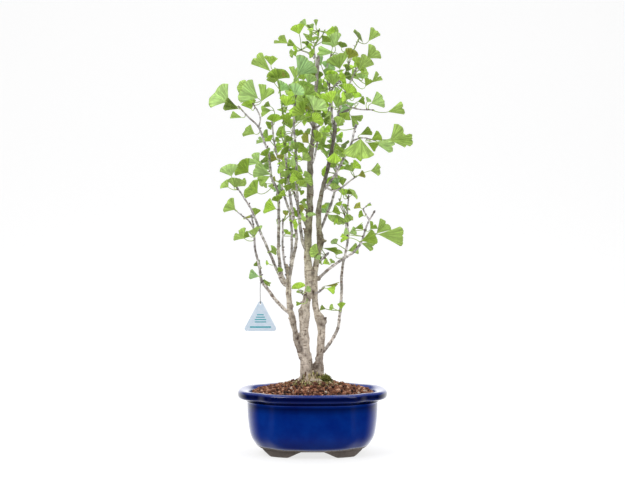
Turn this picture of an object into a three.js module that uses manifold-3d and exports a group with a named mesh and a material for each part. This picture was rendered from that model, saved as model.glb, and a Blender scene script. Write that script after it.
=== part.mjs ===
// A ginkgo bonsai in a lobed, glazed pot. Millimetres, +Z up, the viewer in front at -Y.
import * as THREE from "three";
import { mergeVertices } from "three/addons/utils/BufferGeometryUtils.js";
import Module from "manifold-3d";

const wasm = await Module();
wasm.setup();

// ---- driving dimensions ----
const rimHalfWidth = 125.5;
const rimHalfDepth = 100;
const rimTop = 108;
const planPower = 2.5; // a superellipse, squarer than an oval
const creaseDepth = 0.055; // share of the radius lost at each of the four corner creases
const creaseWidth = 9; // degrees
const wallCrease = 0.4; // share of the crease that is left on the wall under the lip
const lipFoot = 91; // height at which the lip leaves the wall
const planSides = 32;
const footHeight = 11;
// Underside of a foot, from the pot's middle out to its corner: [x, height].
const footUnderside = [[18, 10.4], [26, 7], [34, 3], [42, 0], [68, 0], [77, 5.4], [85, 11]];
const footWidth = 20;
const footMiddleGap = 3; // half the gap between the front foot and the back one
const floorTop = 21;
const drainRadius = 8;
const drainOffset = 42;
const drainMeshSide = 30;
const drainMeshThickness = 1.2;
const gap = 0.3; // clearance between touching pieces
const sleeveGap = 0.4; // clearance round wood that passes through another piece
const soilEdge = 101;
const soilPeak = 124;
const woodSpacing = 40; // longest straight stretch of wood
const woodClearance = 0.8; // kept free between wood and a blade
const petioleClearance = 1.6; // kept free round a leaf stalk
const leafThickness = 0.7;
const petioleRadius = 0.65;
const rootSink = 0.7; // how far a petiole starts behind the middle of its twig
const tagHalfWidth = 28.5;
const tagHeight = 52;
const tagThickness = 1;
const tagHoleRadius = 1.6;
const stringRadius = 0.45;

// Outer wall of the pot, from the foot ring up over the lip: [inset from the rim, height].
const outerWall = [
  [39, footHeight], [29, 19.5], [21.5, 34], [17.4, 60], [16, 90.5], [4.5, 92.5], [0, 97.5], [0.6, 103.5],
  [3.5, 106.5], [13, rimTop],
];
// Inner wall, from the lip down to the floor.
const innerWall = [[19, 106.5], [22, 97], [25, 60], [31, 32], [41, floorTop]];

// ---- growth: every row is [x, y, z, radius] along the wood, in mm ----
const trunks = {
  "central": [
    [-4, 0, 92, 13], [-9, 0, 112, 12], [-10, 0, 126, 10.6], [-11, 0, 156, 9], [-13, 0, 181, 8],
    [-14, 0, 206, 7.6], [-14, 0, 224, 8.6], [-14, 0, 234, 9.4], [-12, 0, 250, 7.4], [-7, 0, 273, 6.3],
    [-7, 0, 307, 6.3], [-8, 0, 341, 6.2], [-7, 0, 374, 6], [-5, 0, 408, 5.8], [-4, 0, 441, 5.4],
    [-4, 0, 475, 5], [-2, 0, 509, 4.4], [3, 0, 539, 4.8], [1, 0, 567, 3.6], [2, 0, 593, 3.3],
    [6, 0, 613, 3.1], [8, 0, 640, 3], [10, 0, 663, 2.8],
  ],
  "right": [
    [4, 2, 94, 9], [10, 2, 116, 8], [12, 2, 132, 6.8], [12, 2, 156, 6.4], [14, 2, 181, 6.2],
    [15, 3, 206, 6.6], [13, 3, 223, 8.2], [7, 3, 236, 5.6], [4, 3, 257, 4.9], [4, 2, 282, 4.7],
    [5, 1, 307, 4.6], [9, 0, 332, 4.8], [13, 0, 352, 6], [11, 0, 374, 4.7], [10, 0, 404, 4.4],
    [14, 0, 430, 3.8], [21, 0, 458, 3.3], [27, 0, 483, 3.4], [33, 0, 512, 3.3], [37, 0, 539, 3.2],
    [40, 0, 559, 3.8], [51, 0, 571, 2.4], [65, 0, 578, 1.7],
  ],
  "left": [
    [-13, 0, 152, 5.4], [-19, 0, 165, 5.4], [-25, 0, 184, 5.1], [-30, 0, 206, 4.9], [-34, 0, 226, 5.2],
    [-39, 0, 248, 4.7], [-40, 0, 270, 4.5], [-41, 0, 292, 3.6],
  ],
};

// Leafy stems, each with its twigs. A leaf row is [x, z, direction, length] of its blade in the front
// view, in mm and degrees, then, where it matters, its roll and half spread.
const sprays = {
  "low_left_spray": {
    "stem": [
      [-40, 0, 236, 2.9], [-50, -2, 244, 2.8], [-65, -6, 261, 2.7], [-77, -10, 278, 2.5],
      [-84, -12, 287, 2.4], [-87, -15, 298, 2.3], [-88, -18, 310, 2.1], [-95, -26, 342, 1.8],
      [-97, -34, 374, 1.6], [-100, -40, 394, 1.3],
    ],
    "twigs": [
      [[-97, -35, 376, 1.3], [-105, -37, 389, 1.2], [-114, -39, 396, 1.1], [-126, -43, 406, 0.9]],
    ],
    "leaves": [
      [-103, 363, 152, 11, 20, 36], [-98, 362, 100, 15, 15, 30], [-114, 360, 140, 18, 10, 48],
      [-95, 364, 78, 17, 50, 34], [-87, 313, 140, 12, 15, 34], [-88, 297, 165, 18, 15, 26],
      [-126, 407, 142, 21, 10, 38], [-100, 395, 168, 15, 68], [-95, 398, 82, 14, 10, 32],
      [-71, 286, 190, 13],
    ],
  },
  "left_front_spray": {
    "stem": [
      [-40, 0, 278, 2.6], [-50, -2, 286, 2.6], [-58, -8, 304, 2.4], [-66, -14, 323, 2.3],
      [-76, -22, 347, 2.1], [-87, -32, 372, 1.9], [-98, -44, 402, 1.7], [-109, -53, 422, 1.5],
      [-121, -62, 440, 1.2],
    ],
    "twigs": [],
    "leaves": [
      [-127, 443, 66, 21, 15, 42], [-138, 444, 140, 14, 10, 42], [-133, 462, 110, 22, 10, 42],
      [-71, 338, 8, 13, 15, 24], [-68, 340, 40, 9], [-73, 317, 150, 8], [-58, 304, 40, 10],
      [-122, 448, 32, 16, 55, 30], [-87, 373, 120, 11, 30, 36],
    ],
  },
  "left_tall_spray": {
    "stem": [
      [-40, 0, 282, 2.7], [-51, 1, 297, 2.7], [-57, 5, 334, 2.6], [-57, 9, 374, 2.5], [-57, 12, 401, 2.4],
      [-59, 17, 439, 2.2], [-70, 20, 466, 2.1], [-74, 25, 502, 1.9], [-83, 28, 527, 1.8],
      [-92, 32, 550, 1.6], [-107, 35, 565, 1.5], [-124, 38, 583, 1.2],
    ],
    "twigs": [
      [
        [-92, 32, 550, 1.4], [-89, 33, 566, 1.3], [-95, 35, 580, 1.2], [-102, 38, 590, 1.0],
        [-105, 41, 601, 0.9],
      ],
    ],
    "leaves": [
      [-144, 595, 148, 35, 10, 44], [-125, 580, 162, 27, 20, 24], [-121, 568, 168, 21, 30, 20],
      [-100, 592, 165, 17, 22, 33], [-105, 582, 118, 19, 20, 42], [-110, 615, 150, 19, 30, 46],
      [-92, 597, 152, 34, 10, 37], [-88, 595, 68, 32, 15, 26], [-99, 539, 154, 22, 15, 31],
      [-83, 525, 155, 15, 10, 26], [-91, 488, 140, 22, 12, 41], [-108, 471, 138, 25, 10, 44],
      [-71, 468, 158, 30, 10, 27], [-76, 492, 165, 16, 30, 26], [-75, 478, 130, 17, 20, 38],
      [-76, 497, 120, 14, 10, 34], [-76, 499, 95, 15, 60, 40], [-72, 466, 203, 24, 12, 24],
      [-94, 438, 149, 28, 8, 43], [-62, 410, 163, 22, 10, 36],
    ],
  },
  "left_short_spray": {
    "stem": [[-40, 0, 284, 2.1], [-45, 3, 309, 1.9], [-50, 7, 341, 1.7], [-50, 14, 388, 1.3]],
    "twigs": [],
    "leaves": [
      [-45, 398, 80, 8], [-53, 390, 195, 9, 15, 40], [-39, 364, 2, 13, 20, 20],
    ],
  },
  "centre_left_spray": {
    "stem": [
      [-40, 0, 280, 2.8], [-36, -2, 310, 2.7], [-28, -6, 349, 2.5], [-27, -7, 366, 2.4],
      [-34, -12, 408, 2.3], [-41, -18, 457, 2.2], [-45, -23, 496, 2.0], [-45, -25, 515, 1.6],
      [-49, -32, 564, 1.4], [-54, -37, 605, 1.3], [-61, -42, 637, 1.0],
    ],
    "twigs": [
      [[-44, -24, 504, 1.1], [-47, -26, 515, 1.0], [-54, -32, 537, 0.9]],
    ],
    "leaves": [
      [-69, 634, 136, 35, 10, 20], [-69, 647, 91, 21, 12, 30], [-57, 621, 85, 21, 10, 72],
      [-55, 604, 60, 19, 10, 38], [-44, 577, 72, 18, 10, 46], [-44, 568, 130, 16, 30, 34],
      [-41, 550, 100, 18, 12, 34], [-49, 479, 20, 13, 70], [-44, 476, 160, 12],
      [-50, 449, 105, 11, 15, 35], [-44, 438, 60, 13], [-34, 441, 60, 13],
    ],
  },
  "left_back_spray": {
    "stem": [
      [-40, 0, 285, 2.1], [-35, 11, 345, 2.1], [-38, 25, 400, 2.0], [-51, 36, 442, 1.9],
      [-56, 48, 486, 1.8], [-65, 57, 519, 1.6], [-70, 68, 557, 1.3],
    ],
    "twigs": [],
    "leaves": [
      [-72, 584, 188, 21, 15, 27], [-73, 590, 150, 13, 20, 30], [-66, 560, 88, 16, 10, 52],
      [-70, 563, 218, 14, 15, 36], [-67, 456, 245, 13, 20, 30], [-56, 530, 170, 10],
      [-60, 495, 160, 13, 20, 36], [-50, 436, 165, 13, 15, 40], [-46, 525, 50, 14],
      [-42, 464, 30, 13],
    ],
  },
  "centre_spray": {
    "stem": [
      [-8, 0, 335, 2.6], [-17, -2, 356, 2.5], [-22, -6, 394, 2.4], [-26, -12, 438, 2.2],
      [-27, -21, 494, 2.0], [-31, -29, 547, 1.7], [-30, -34, 575, 1.5], [-27, -38, 597, 1.2],
    ],
    "twigs": [],
    "leaves": [
      [-29, 623, 88, 25, 25, 24], [-25, 628, 48, 34, 10, 36], [-32, 582, 130, 21],
      [-29, 592, 60, 20], [-19, 585, 100, 22], [-12, 595, 40, 19], [-31, 500, 262, 21, 10, 16],
      [-29, 491, 60, 15, 15, 40], [-7, 506, 165, 19, 10, 25], [-17, 489, 30, 15],
      [-23, 457, 165, 15, 15, 34], [-26, 463, 60, 13], [-16, 464, 20, 12],
      [-19, 446, 90, 11, 10, 45], [-18, 402, 85, 15, 10, 20], [-24, 383, 180, 12, 10, 45],
      [-19, 391, 50, 12], [-6, 396, 60, 12],
    ],
  },
  "centre_front_spray": {
    "stem": [
      [-4, 0, 478, 1.8], [4, -10, 499, 1.7], [8, -27, 528, 1.5], [4, -45, 556, 1.4], [-2, -66, 583, 1.2],
    ],
    "twigs": [],
    "leaves": [
      [-14, 561, 120, 23], [-7, 570, 80, 23], [2, 567, 60, 24], [14, 570, 90, 23],
      [-1, 552, 30, 19], [9, 555, 150, 19], [17, 556, 30, 19], [-11, 579, 150, 20],
      [-6, 517, 130, 19], [4, 520, 50, 18],
    ],
  },
  "centre_back_spray": {
    "stem": [
      [0, 0, 541, 1.8], [13, 6, 552, 1.7], [24, 16, 568, 1.5], [30, 30, 593, 1.4], [29, 48, 624, 1.1],
    ],
    "twigs": [],
    "leaves": [
      [15, 615, 45, 19], [8, 629, 100, 18], [21, 632, 60, 18], [15, 656, 110, 18],
      [32, 605, 20, 19], [25, 650, 70, 17], [20, 592, 140, 19],
    ],
  },
  "centre_shoot_spray": {
    "stem": [[2, 0, 543, 1.6], [-7, 8, 563, 1.4], [-12, 11, 591, 1.2], [-14, 13, 615, 1.0]],
    "twigs": [],
    "leaves": [
      [-21, 618, 140, 18], [-8, 618, 60, 18], [-3, 605, 20, 17], [-19, 597, 170, 16],
      [-6, 574, 160, 16],
    ],
  },
  "top_spray": {
    "stem": [[8, 0, 640, 2.0], [5, 3, 662, 1.8], [2, 6, 681, 1.6], [8, 9, 693, 1.4], [11, 12, 711, 1.0]],
    "twigs": [
      [[3, 3, 664, 1.2], [-9, 7, 673, 1.1], [-19, 11, 678, 0.9]],
      [[7, 8, 691, 1.1], [16, 13, 702, 1.0], [20, 16, 711, 0.8]],
    ],
    "leaves": [
      [-27, 683, 150, 17, 30, 24], [-42, 692, 155, 24, 40, 34], [-22, 702, 104, 18, 10, 40],
      [-10, 717, 128, 13, 15, 30], [-3, 712, 98, 14, 10, 26], [-7, 689, 140, 12, 50, 40],
      [6, 716, 82, 13, 62, 30], [1, 713, 110, 9, 30, 30], [-4, 694, 88, 11, 60, 30],
      [9, 702, 85, 10, 60, 30],
    ],
  },
  "rear_left_spray": {
    "stem": [
      [-6, 0, 372, 2.3], [-20, 12, 404, 2.2], [-32, 28, 441, 2.1], [-41, 48, 483, 1.9],
      [-39, 68, 525, 1.6], [-31, 88, 563, 1.3],
    ],
    "twigs": [],
    "leaves": [
      [-49, 474, 150, 13, 15, 40], [-40, 481, 60, 15, 15, 40], [-35, 513, 110, 19],
      [-46, 520, 130, 14], [-27, 537, 70, 14], [-38, 553, 100, 20, 12, 40], [-27, 564, 70, 18],
      [-45, 547, 190, 16, 15, 30], [-33, 443, 30, 13], [-45, 432, 160, 13],
    ],
  },
  "rear_right_spray": {
    "stem": [
      [11, 0, 368, 2.3], [22, 11, 396, 2.2], [34, 27, 426, 2.1], [41, 46, 462, 1.9], [39, 70, 505, 1.6],
      [33, 92, 543, 1.3],
    ],
    "twigs": [],
    "leaves": [
      [33, 443, 40, 16], [40, 453, 120, 18], [30, 475, 150, 14], [46, 478, 50, 12],
      [37, 500, 100, 16], [15, 514, 95, 15, 10, 42], [42, 528, 50, 11], [31, 547, 125, 14],
      [40, 554, 50, 15, 12, 30], [48, 496, 20, 12], [25, 536, 190, 12], [26, 403, 112, 19],
    ],
  },
  "right_front_spray": {
    "stem": [
      [17, 0, 440, 2.3], [26, -3, 450, 2.3], [39, -12, 469, 2.1], [54, -25, 497, 1.9],
      [63, -34, 514, 1.8], [70, -48, 541, 1.6],
    ],
    "twigs": [
      [
        [22, -2, 446, 1.7], [36, -4, 440, 1.6], [50, -6, 446, 1.5], [61, -8, 455, 1.3],
        [71, -10, 462, 1.1],
      ],
      [[65, -38, 521, 1.4], [82, -41, 526, 1.2], [100, -46, 522, 1.0]],
    ],
    "leaves": [
      [42, 545, 80, 15], [128, 521, 357, 43, 10, 12], [37, 503, 265, 21, 10, 34],
      [35, 504, 40, 20, 12, 30], [59, 505, 165, 18, 12, 18], [79, 524, 258, 37, 12, 40],
      [96, 521, 28, 18, 10, 28], [90, 519, 335, 20, 12, 22], [102, 522, 350, 40, 10, 17],
      [128, 522, 27, 31, 10, 40], [78, 530, 24, 20, 35, 24], [66, 477, 35, 15, 12, 36],
      [98, 474, 10, 22, 10, 27], [76, 464, 18, 12, 20, 32], [56, 482, 100, 12, 60],
    ],
  },
  "right_back_spray": {
    "stem": [
      [16, 0, 168, 2.8], [24, 1, 177, 2.8], [41, 7, 204, 2.6], [46, 12, 230, 2.5], [49, 18, 261, 2.4],
      [50, 27, 303, 2.3], [56, 35, 334, 2.0], [61, 41, 361, 1.9], [60, 50, 399, 1.6], [62, 58, 430, 1.2],
    ],
    "twigs": [
      [[59, 40, 356, 1.4], [57, 43, 386, 1.3], [54, 45, 406, 1.2], [47, 48, 425, 1.0]],
    ],
    "leaves": [
      [48, 241, 90, 15, 10, 25], [36, 242, 150, 9], [23, 240, 165, 11, 10, 25],
      [54, 434, 88, 14, 10, 42], [44, 450, 140, 17], [52, 450, 95, 14, 40, 36],
      [58, 436, 30, 10, 20, 30], [43, 401, 262, 21, 14, 56], [58, 403, 288, 16, 16, 34],
      [40, 332, 72, 12, 15, 45], [61, 339, 16, 19, 10, 28], [62, 392, 40, 11, 20, 34],
    ],
  },
  "right_low_spray": {
    "stem": [
      [5, 0, 290, 2.4], [13, -2, 296, 2.4], [30, -10, 311, 2.3], [51, -20, 326, 2.1], [69, -29, 338, 2.0],
      [82, -39, 357, 1.8], [88, -50, 379, 1.6], [99, -62, 401, 1.3],
    ],
    "twigs": [
      [[81, -38, 355, 1.5], [91, -42, 364, 1.2], [101, -45, 367, 1.0]],
      [[93, -56, 390, 1.4], [87, -59, 400, 1.2], [83, -62, 408, 1.0], [92, -67, 416, 0.8]],
    ],
    "leaves": [
      [80, 356, 18, 27, 10, 25], [81, 352, 346, 27, 10, 18], [106, 368, 48, 26, 10, 27],
      [107, 367, 355, 46, 10, 18], [96, 375, 52, 15, 12, 34], [60, 369, 160, 10, 20, 40],
      [62, 370, 20, 12, 20, 40], [69, 376, 35, 17, 60, 30], [61, 361, 180, 17, 12, 24],
      [79, 410, 142, 12, 10, 34], [83, 397, 155, 11, 15, 34], [88, 412, 40, 8, 50, 30],
    ],
  },
  "upper_right_back_spray": {
    "stem": [
      [37, 0, 540, 2.2], [33, 5, 562, 2.1], [32, 13, 591, 2.0], [33, 19, 612, 1.9], [43, 24, 625, 1.8],
      [54, 29, 636, 1.7], [61, 35, 655, 1.5], [69, 44, 679, 1.3], [78, 52, 700, 1.0],
    ],
    "twigs": [
      [[33, 16, 602, 1.3], [24, 19, 632, 1.2], [25, 21, 651, 1.1], [31, 24, 671, 1.0]],
    ],
    "leaves": [
      [46, 646, 104, 28, 8, 40], [50, 688, 80, 12, 15, 50], [60, 665, 58, 20, 12, 36],
      [80, 706, 85, 18, 55, 74], [97, 702, 55, 26, 12, 22], [62, 648, 92, 14, 20, 50],
      [70, 650, 40, 12, 40, 36], [31, 630, 80, 14, 20, 50], [35, 617, 90, 21, 8, 42],
      [55, 612, 95, 15, 20, 40], [62, 612, 70, 11, 50, 36], [43, 636, 150, 14],
      [38, 683, 112, 24, 8, 46], [38, 680, 172, 31, 10, 17],
    ],
  },
  "upper_right_front_spray": {
    "stem": [
      [38, 0, 548, 2.0], [42, -5, 566, 1.9], [50, -13, 589, 1.8], [56, -21, 608, 1.7],
      [65, -29, 624, 1.5], [73, -37, 640, 1.3], [82, -46, 657, 1.0],
    ],
    "twigs": [
      [[50, -12, 587, 1.3], [66, -15, 578, 1.2], [81, -17, 575, 1.1], [99, -20, 574, 0.9]],
    ],
    "leaves": [
      [90, 657, 44, 25, 10, 34], [75, 635, 49, 28, 10, 25], [64, 628, 40, 17, 15, 36],
      [83, 625, 92, 12, 15, 58], [87, 610, 62, 15, 12, 27], [98, 619, 42, 21, 12, 23],
      [31, 582, 108, 21, 12, 44], [39, 578, 66, 20, 15, 40], [72, 588, 194, 36, 10, 24],
      [76, 590, 20, 14, 20, 30], [91, 588, 60, 9, 20, 40], [97, 583, 22, 24, 8, 33],
      [124, 569, 12, 28, 12, 21], [64, 566, 322, 21, 10, 34], [60, 570, 235, 17, 15, 38],
      [57, 600, 60, 17, 12, 50], [70, 596, 75, 15, 15, 48],
    ],
  },
  "left_rosette": {
    "stem": [[-8, 0, 260, 2.0], [-15, -4, 265, 1.8], [-18, -7, 269, 1.5]],
    "twigs": [],
    "leaves": [
      [-17, 252, 178, 11, 10, 18], [-18, 267, 130, 10], [-11, 272, 40, 10],
      [-23, 276, 97, 13, 10, 62],
    ],
  },
  "right_low_rosette": {
    "stem": [[4, 0, 268, 2.0], [12, -3, 271, 1.8], [16, -6, 275, 1.5]],
    "twigs": [],
    "leaves": [
      [21, 280, 10, 25, 60, 14], [23, 277, 348, 16, 10, 24],
    ],
  },
  "right_mid_rosette": {
    "stem": [[8, 0, 322, 2.0], [17, -6, 326, 1.8], [23, -10, 332, 1.5]],
    "twigs": [],
    "leaves": [
      [12, 324, 120, 9, 10, 36], [17, 317, 35, 13, 10, 32], [31, 318, 60, 9, 10, 36],
      [18, 344, 355, 25, 50, 16],
    ],
  },
};

// ---- arithmetic on [x, y, z] ----
const add = (a, b) => [a[0] + b[0], a[1] + b[1], a[2] + b[2]];
const sub = (a, b) => [a[0] - b[0], a[1] - b[1], a[2] - b[2]];
const times = (a, k) => [a[0] * k, a[1] * k, a[2] * k];
const dot = (a, b) => a[0] * b[0] + a[1] * b[1] + a[2] * b[2];
const unit = (a) => times(a, 1 / Math.hypot(...a));
const cross = (a, b) => [
  a[1] * b[2] - a[2] * b[1], a[2] * b[0] - a[0] * b[2], a[0] * b[1] - a[1] * b[0],
];
const across = (a, along) => unit(sub(a, times(along, dot(a, along))));
const radians = (degrees) => (degrees * Math.PI) / 180;

// The same draws on every run: a multiplicative generator, from 0 to 1.
function seeded(start) {
  let state = start;
  return () => {
    state = (state * 16807) % 2147483647;
    return state / 2147483647;
  };
}

// ---- closed meshes and their joining ----
function solidOf(points, faces) {
  const mesh = new wasm.Mesh({
    numProp: 3,
    vertProperties: new Float32Array(points.flat()),
    triVerts: new Uint32Array(faces.flat()),
  });
  return new wasm.Manifold(mesh);
}

function solidFrom(geometry) {
  const bare = geometry.clone();
  bare.deleteAttribute("normal");
  bare.deleteAttribute("uv");
  const merged = mergeVertices(bare, 1e-4);
  const mesh = new wasm.Mesh({
    numProp: 3,
    vertProperties: new Float32Array(merged.attributes.position.array),
    triVerts: new Uint32Array(merged.index.array),
  });
  return new wasm.Manifold(mesh);
}

function joined(solids) {
  return solids.reduce((whole, next) => whole.add(next));
}

// A cut can leave scraps and a join can seal a hollow, so only the largest body is kept.
function largest(solid) {
  return solid.decompose().reduce((best, next) => (next.volume() > best.volume() ? next : best));
}

function geometryOf(solid) {
  const mesh = solid.getMesh();
  const geometry = new THREE.BufferGeometry();
  geometry.setAttribute("position", new THREE.Float32BufferAttribute(Array.from(mesh.vertProperties), 3));
  geometry.setIndex(Array.from(mesh.triVerts));
  geometry.computeVertexNormals();
  return geometry;
}

// Two triangles for each cell between neighbouring rings, and a fan on each end point.
function skinOf(rings, first, last) {
  const sides = rings[0].length;
  const points = [first, ...rings.flat(), last];
  const faces = [];
  for (let j = 0; j < sides; j += 1) {
    const k = (j + 1) % sides;
    faces.push([0, 1 + k, 1 + j]);
    for (let i = 0; i + 1 < rings.length; i += 1) {
      const low = 1 + i * sides;
      const high = low + sides;
      faces.push([low + j, low + k, high + k], [low + j, high + k, high + j]);
    }
    const top = 1 + (rings.length - 1) * sides;
    faces.push([top + j, top + k, points.length - 1]);
  }
  return solidOf(points, faces);
}

// ---- wood: a tapered tube through rows of [x, y, z, radius] ----
function smoothRows(rows, spacing) {
  const places = rows.map((row) => new THREE.Vector3(...row.slice(0, 3)));
  const curve = new THREE.CatmullRomCurve3(places, false, "catmullrom");
  const spans = rows.length - 1;
  const smooth = [];
  for (let i = 0; i < spans; i += 1) {
    const length = Math.hypot(...sub(rows[i + 1], rows[i]));
    const steps = Math.max(1, Math.round(length / spacing));
    for (let j = 0; j < steps; j += 1) {
      const share = j / steps;
      const place = curve.getPoint((i + share) / spans);
      smooth.push([place.x, place.y, place.z, rows[i][3] + (rows[i + 1][3] - rows[i][3]) * share]);
    }
  }
  smooth.push(rows[spans]);
  return smooth;
}

function tube(rows, sides, spacing, extra = 0) {
  const path = smoothRows(rows, spacing);
  let normal = [0, -1, 0];
  const rings = path.map((row, i) => {
    const along = unit(sub(path[Math.min(i + 1, path.length - 1)], path[Math.max(i - 1, 0)]));
    normal = across(normal, along);
    const side = cross(along, normal);
    const radius = row[3] + extra;
    return Array.from({ length: sides }, (unused, j) => {
      const turn = (2 * Math.PI * j) / sides;
      const offset = add(times(normal, radius * Math.cos(turn)), times(side, radius * Math.sin(turn)));
      return add(row, offset);
    });
  });
  return skinOf(rings, path[0].slice(0, 3), path[path.length - 1].slice(0, 3));
}

// ---- the pot ----
// The plan is a superellipse pinched at its four corners, so that it reads as four lobes.
function planPoint(turn, halfWidth, halfDepth, height, creased) {
  const wide = Math.abs(Math.cos(turn));
  const deep = Math.abs(Math.sin(turn));
  const fromCrease = (Math.atan2(deep, wide) - Math.PI / 4) / radians(creaseWidth);
  const pinch = 1 - creaseDepth * creased * Math.exp(-fromCrease * fromCrease);
  const share = pinch * (wide ** planPower + deep ** planPower) ** (-1 / planPower);
  return [halfWidth * share * Math.cos(turn), halfDepth * share * Math.sin(turn), height];
}

function planRing(inset, height, creased = 1) {
  return Array.from({ length: planSides }, (unused, j) =>
    planPoint((2 * Math.PI * j) / planSides, rimHalfWidth - inset, rimHalfDepth - inset, height, creased));
}

// The edge of a drain hole.
function turnedRing(x, z) {
  const sides = 16;
  return Array.from({ length: sides }, (unused, j) => {
    const turn = (2 * Math.PI * j) / sides;
    return [x + drainRadius * Math.cos(turn), drainRadius * Math.sin(turn), z];
  });
}

// Half the depth of the pot's underside, at a distance from its middle.
function baseDepthAt(x) {
  const [inset] = outerWall[0];
  const share = (x / (rimHalfWidth - inset)) ** planPower;
  return (rimHalfDepth - inset) * (1 - share) ** (1 / planPower);
}

// A foot under a corner: sloped up at both ends, flat where it stands.
function foot(signX, signY) {
  const edge = 2; // set back from the pot's edge, and sunk into the pot
  const top = footHeight + edge;
  const rings = footUnderside.map(([x, bottom]) => {
    const outer = baseDepthAt(x) - edge;
    const inner = Math.max(outer - footWidth, footMiddleGap);
    return [[x, -outer, top], [x, -outer + edge, bottom], [x, -inner, bottom], [x, -inner, top]];
  });
  const mirrored = rings.map((ring) => ring.map(([x, y, z]) => [x * signX, y * -signY, z]));
  const ordered = signX * signY < 0 ? mirrored : mirrored.map((ring) => [...ring].reverse());
  const middle = (ring) => times(ring.reduce(add), 1 / ring.length);
  return skinOf(ordered, middle(ordered[0]), middle(ordered[ordered.length - 1]));
}

function buildPot() {
  const outside = outerWall.map(([inset, height]) => planRing(inset, height, height < lipFoot ? wallCrease : 1));
  const inside = innerWall.map(([inset, height]) => planRing(inset, height));
  const shell = skinOf([...outside, ...inside], [0, 0, footHeight], [0, 0, floorTop]);
  const feet = [foot(1, 1), foot(-1, 1), foot(1, -1), foot(-1, -1)];
  const holes = [-drainOffset, drainOffset].map((x) => {
    const low = turnedRing(x, footHeight - 4);
    const high = turnedRing(x, floorTop + 4);
    return skinOf([low, high], [x, 0, footHeight - 4], [x, 0, floorTop + 4]);
  });
  return joined([shell, ...feet]).subtract(joined(holes));
}

// A square of plastic mesh that keeps the soil from falling through a drain hole.
function buildDrainMesh(x) {
  const half = drainMeshSide / 2;
  const outline = new THREE.Shape([
    new THREE.Vector2(-half, -half), new THREE.Vector2(half, -half),
    new THREE.Vector2(half, half), new THREE.Vector2(-half, half),
  ]);
  const spread = 6;
  const opening = 4;
  for (const i of [-1, 1]) {
    for (const j of [-1, 1]) {
      const hole = new THREE.Path();
      hole.absarc(i * spread, j * spread, opening, 0, 2 * Math.PI, true);
      outline.holes.push(hole);
    }
  }
  const sizes = { depth: drainMeshThickness, bevelEnabled: false, curveSegments: 3 };
  const plate = new THREE.ExtrudeGeometry(outline, sizes);
  return solidFrom(plate.translate(x, 0, floorTop + gap));
}

// ---- trunk, roots and soil ----
// Roots that show on the soil, then deep ones that hold the tree in the pot.
function rootRows() {
  const draw = seeded(77);
  const rows = [];
  const surfaceRoots = 6;
  for (let i = 0; i < surfaceRoots; i += 1) {
    const turn = radians(-160 + (320 / surfaceRoots) * i + 14 * draw());
    const reach = 30 + 22 * draw();
    const bend = 0.5 * (draw() - 0.5);
    const at = (share, height, radius) => {
      const heading = turn + bend * share;
      return [reach * share * Math.cos(heading), reach * share * Math.sin(heading), height, radius];
    };
    rows.push([at(0.05, 116, 5), at(0.36, 123, 4.2), at(0.68, 117, 2.9), at(1, 106, 1.6)]);
  }
  const deepRoots = 3;
  for (let i = 0; i < deepRoots; i += 1) {
    const turn = radians(120 * i + 35);
    const reach = 52 + 20 * draw();
    rows.push([
      [0, 0, 98, 6], [reach * 0.45 * Math.cos(turn), reach * 0.45 * Math.sin(turn), 74, 3.4],
      [reach * Math.cos(turn), reach * 0.8 * Math.sin(turn), 44, 1.4],
    ]);
  }
  return rows;
}

const trunkSides = { central: 7, right: 6, left: 5 };
const rootSides = 4;
function trunkTubes(extra) {
  return [
    ...Object.keys(trunks).map((name) => tube(trunks[name], trunkSides[name], woodSpacing, extra)),
    ...rootRows().map((rows) => tube(rows, rootSides, woodSpacing, extra)),
  ];
}

// Follows the inside of the pot and ends in an uneven mound.
const soilSide = [[40.6, floorTop + 2], [31.4, 32.4], [25.4, 60], [22.4, 96]];
const soilInset = 22.8;
const soilRoughness = 2.4;
function buildSoil() {
  const draw = seeded(311);
  const rings = soilSide.map(([inset, height]) => planRing(inset, height));
  const steps = 4;
  for (let i = 0; i < steps; i += 1) {
    const share = 1 - i / steps;
    const height = soilEdge + (soilPeak - soilEdge) * (1 - share) ** 0.8;
    const bump = () => soilRoughness * (draw() - 0.5);
    rings.push(planRing(soilInset, 0).map(([x, y]) => [x * share, y * share, height + bump()]));
  }
  const mound = skinOf(rings, [0, 0, floorTop + 2], [0, 0, soilPeak]);
  return largest(mound.subtract(joined(trunkTubes(sleeveGap))));
}

// ---- leaves ----
// Share of the half spread, share of the length and rise of each point along the waved edge.
const broadEdge = [
  [-1, 0.84, 0.1], [-0.62, 0.97, -0.05], [-0.24, 1, 0.06], [0, 0.68, -0.02],
  [0.22, 0.99, 0.05], [0.6, 0.96, -0.06], [1, 0.82, 0.09],
];
const smallEdge = [
  [-1, 0.86, 0.08], [-0.42, 1, -0.04], [0, 0.74, 0.03], [0.4, 0.98, -0.05], [1, 0.85, 0.07],
];
const broadFrom = 25; // leaves at least this long have the edge with more waves
const fullness = 1.22; // the half spreads are drawn to the straight part of the sides
const widestSpread = 76;

// What a row and the draws say about a leaf, before its side and depth are settled.
function planLeaf(row, wood, draw) {
  const [x, z, direction, length] = row;
  const side = draw() < 0.5 ? -1 : 1;
  const depth = 7 + 11 * draw();
  const lift = radians(8 + 28 * draw());
  const randomRoll = (10 + 45 * draw()) * (draw() < 0.5 ? -1 : 1);
  const randomSpread = 50 + 16 * draw();
  const roll = radians(row[4] ?? randomRoll);
  const spread = radians(row[5] === undefined ? randomSpread : Math.min(row[5] * fullness, widestSpread));
  const root = nearest(wood, x, z);
  return { x, z, turn: radians(direction), length, side, depth, lift, roll, spread, root };
}

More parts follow.
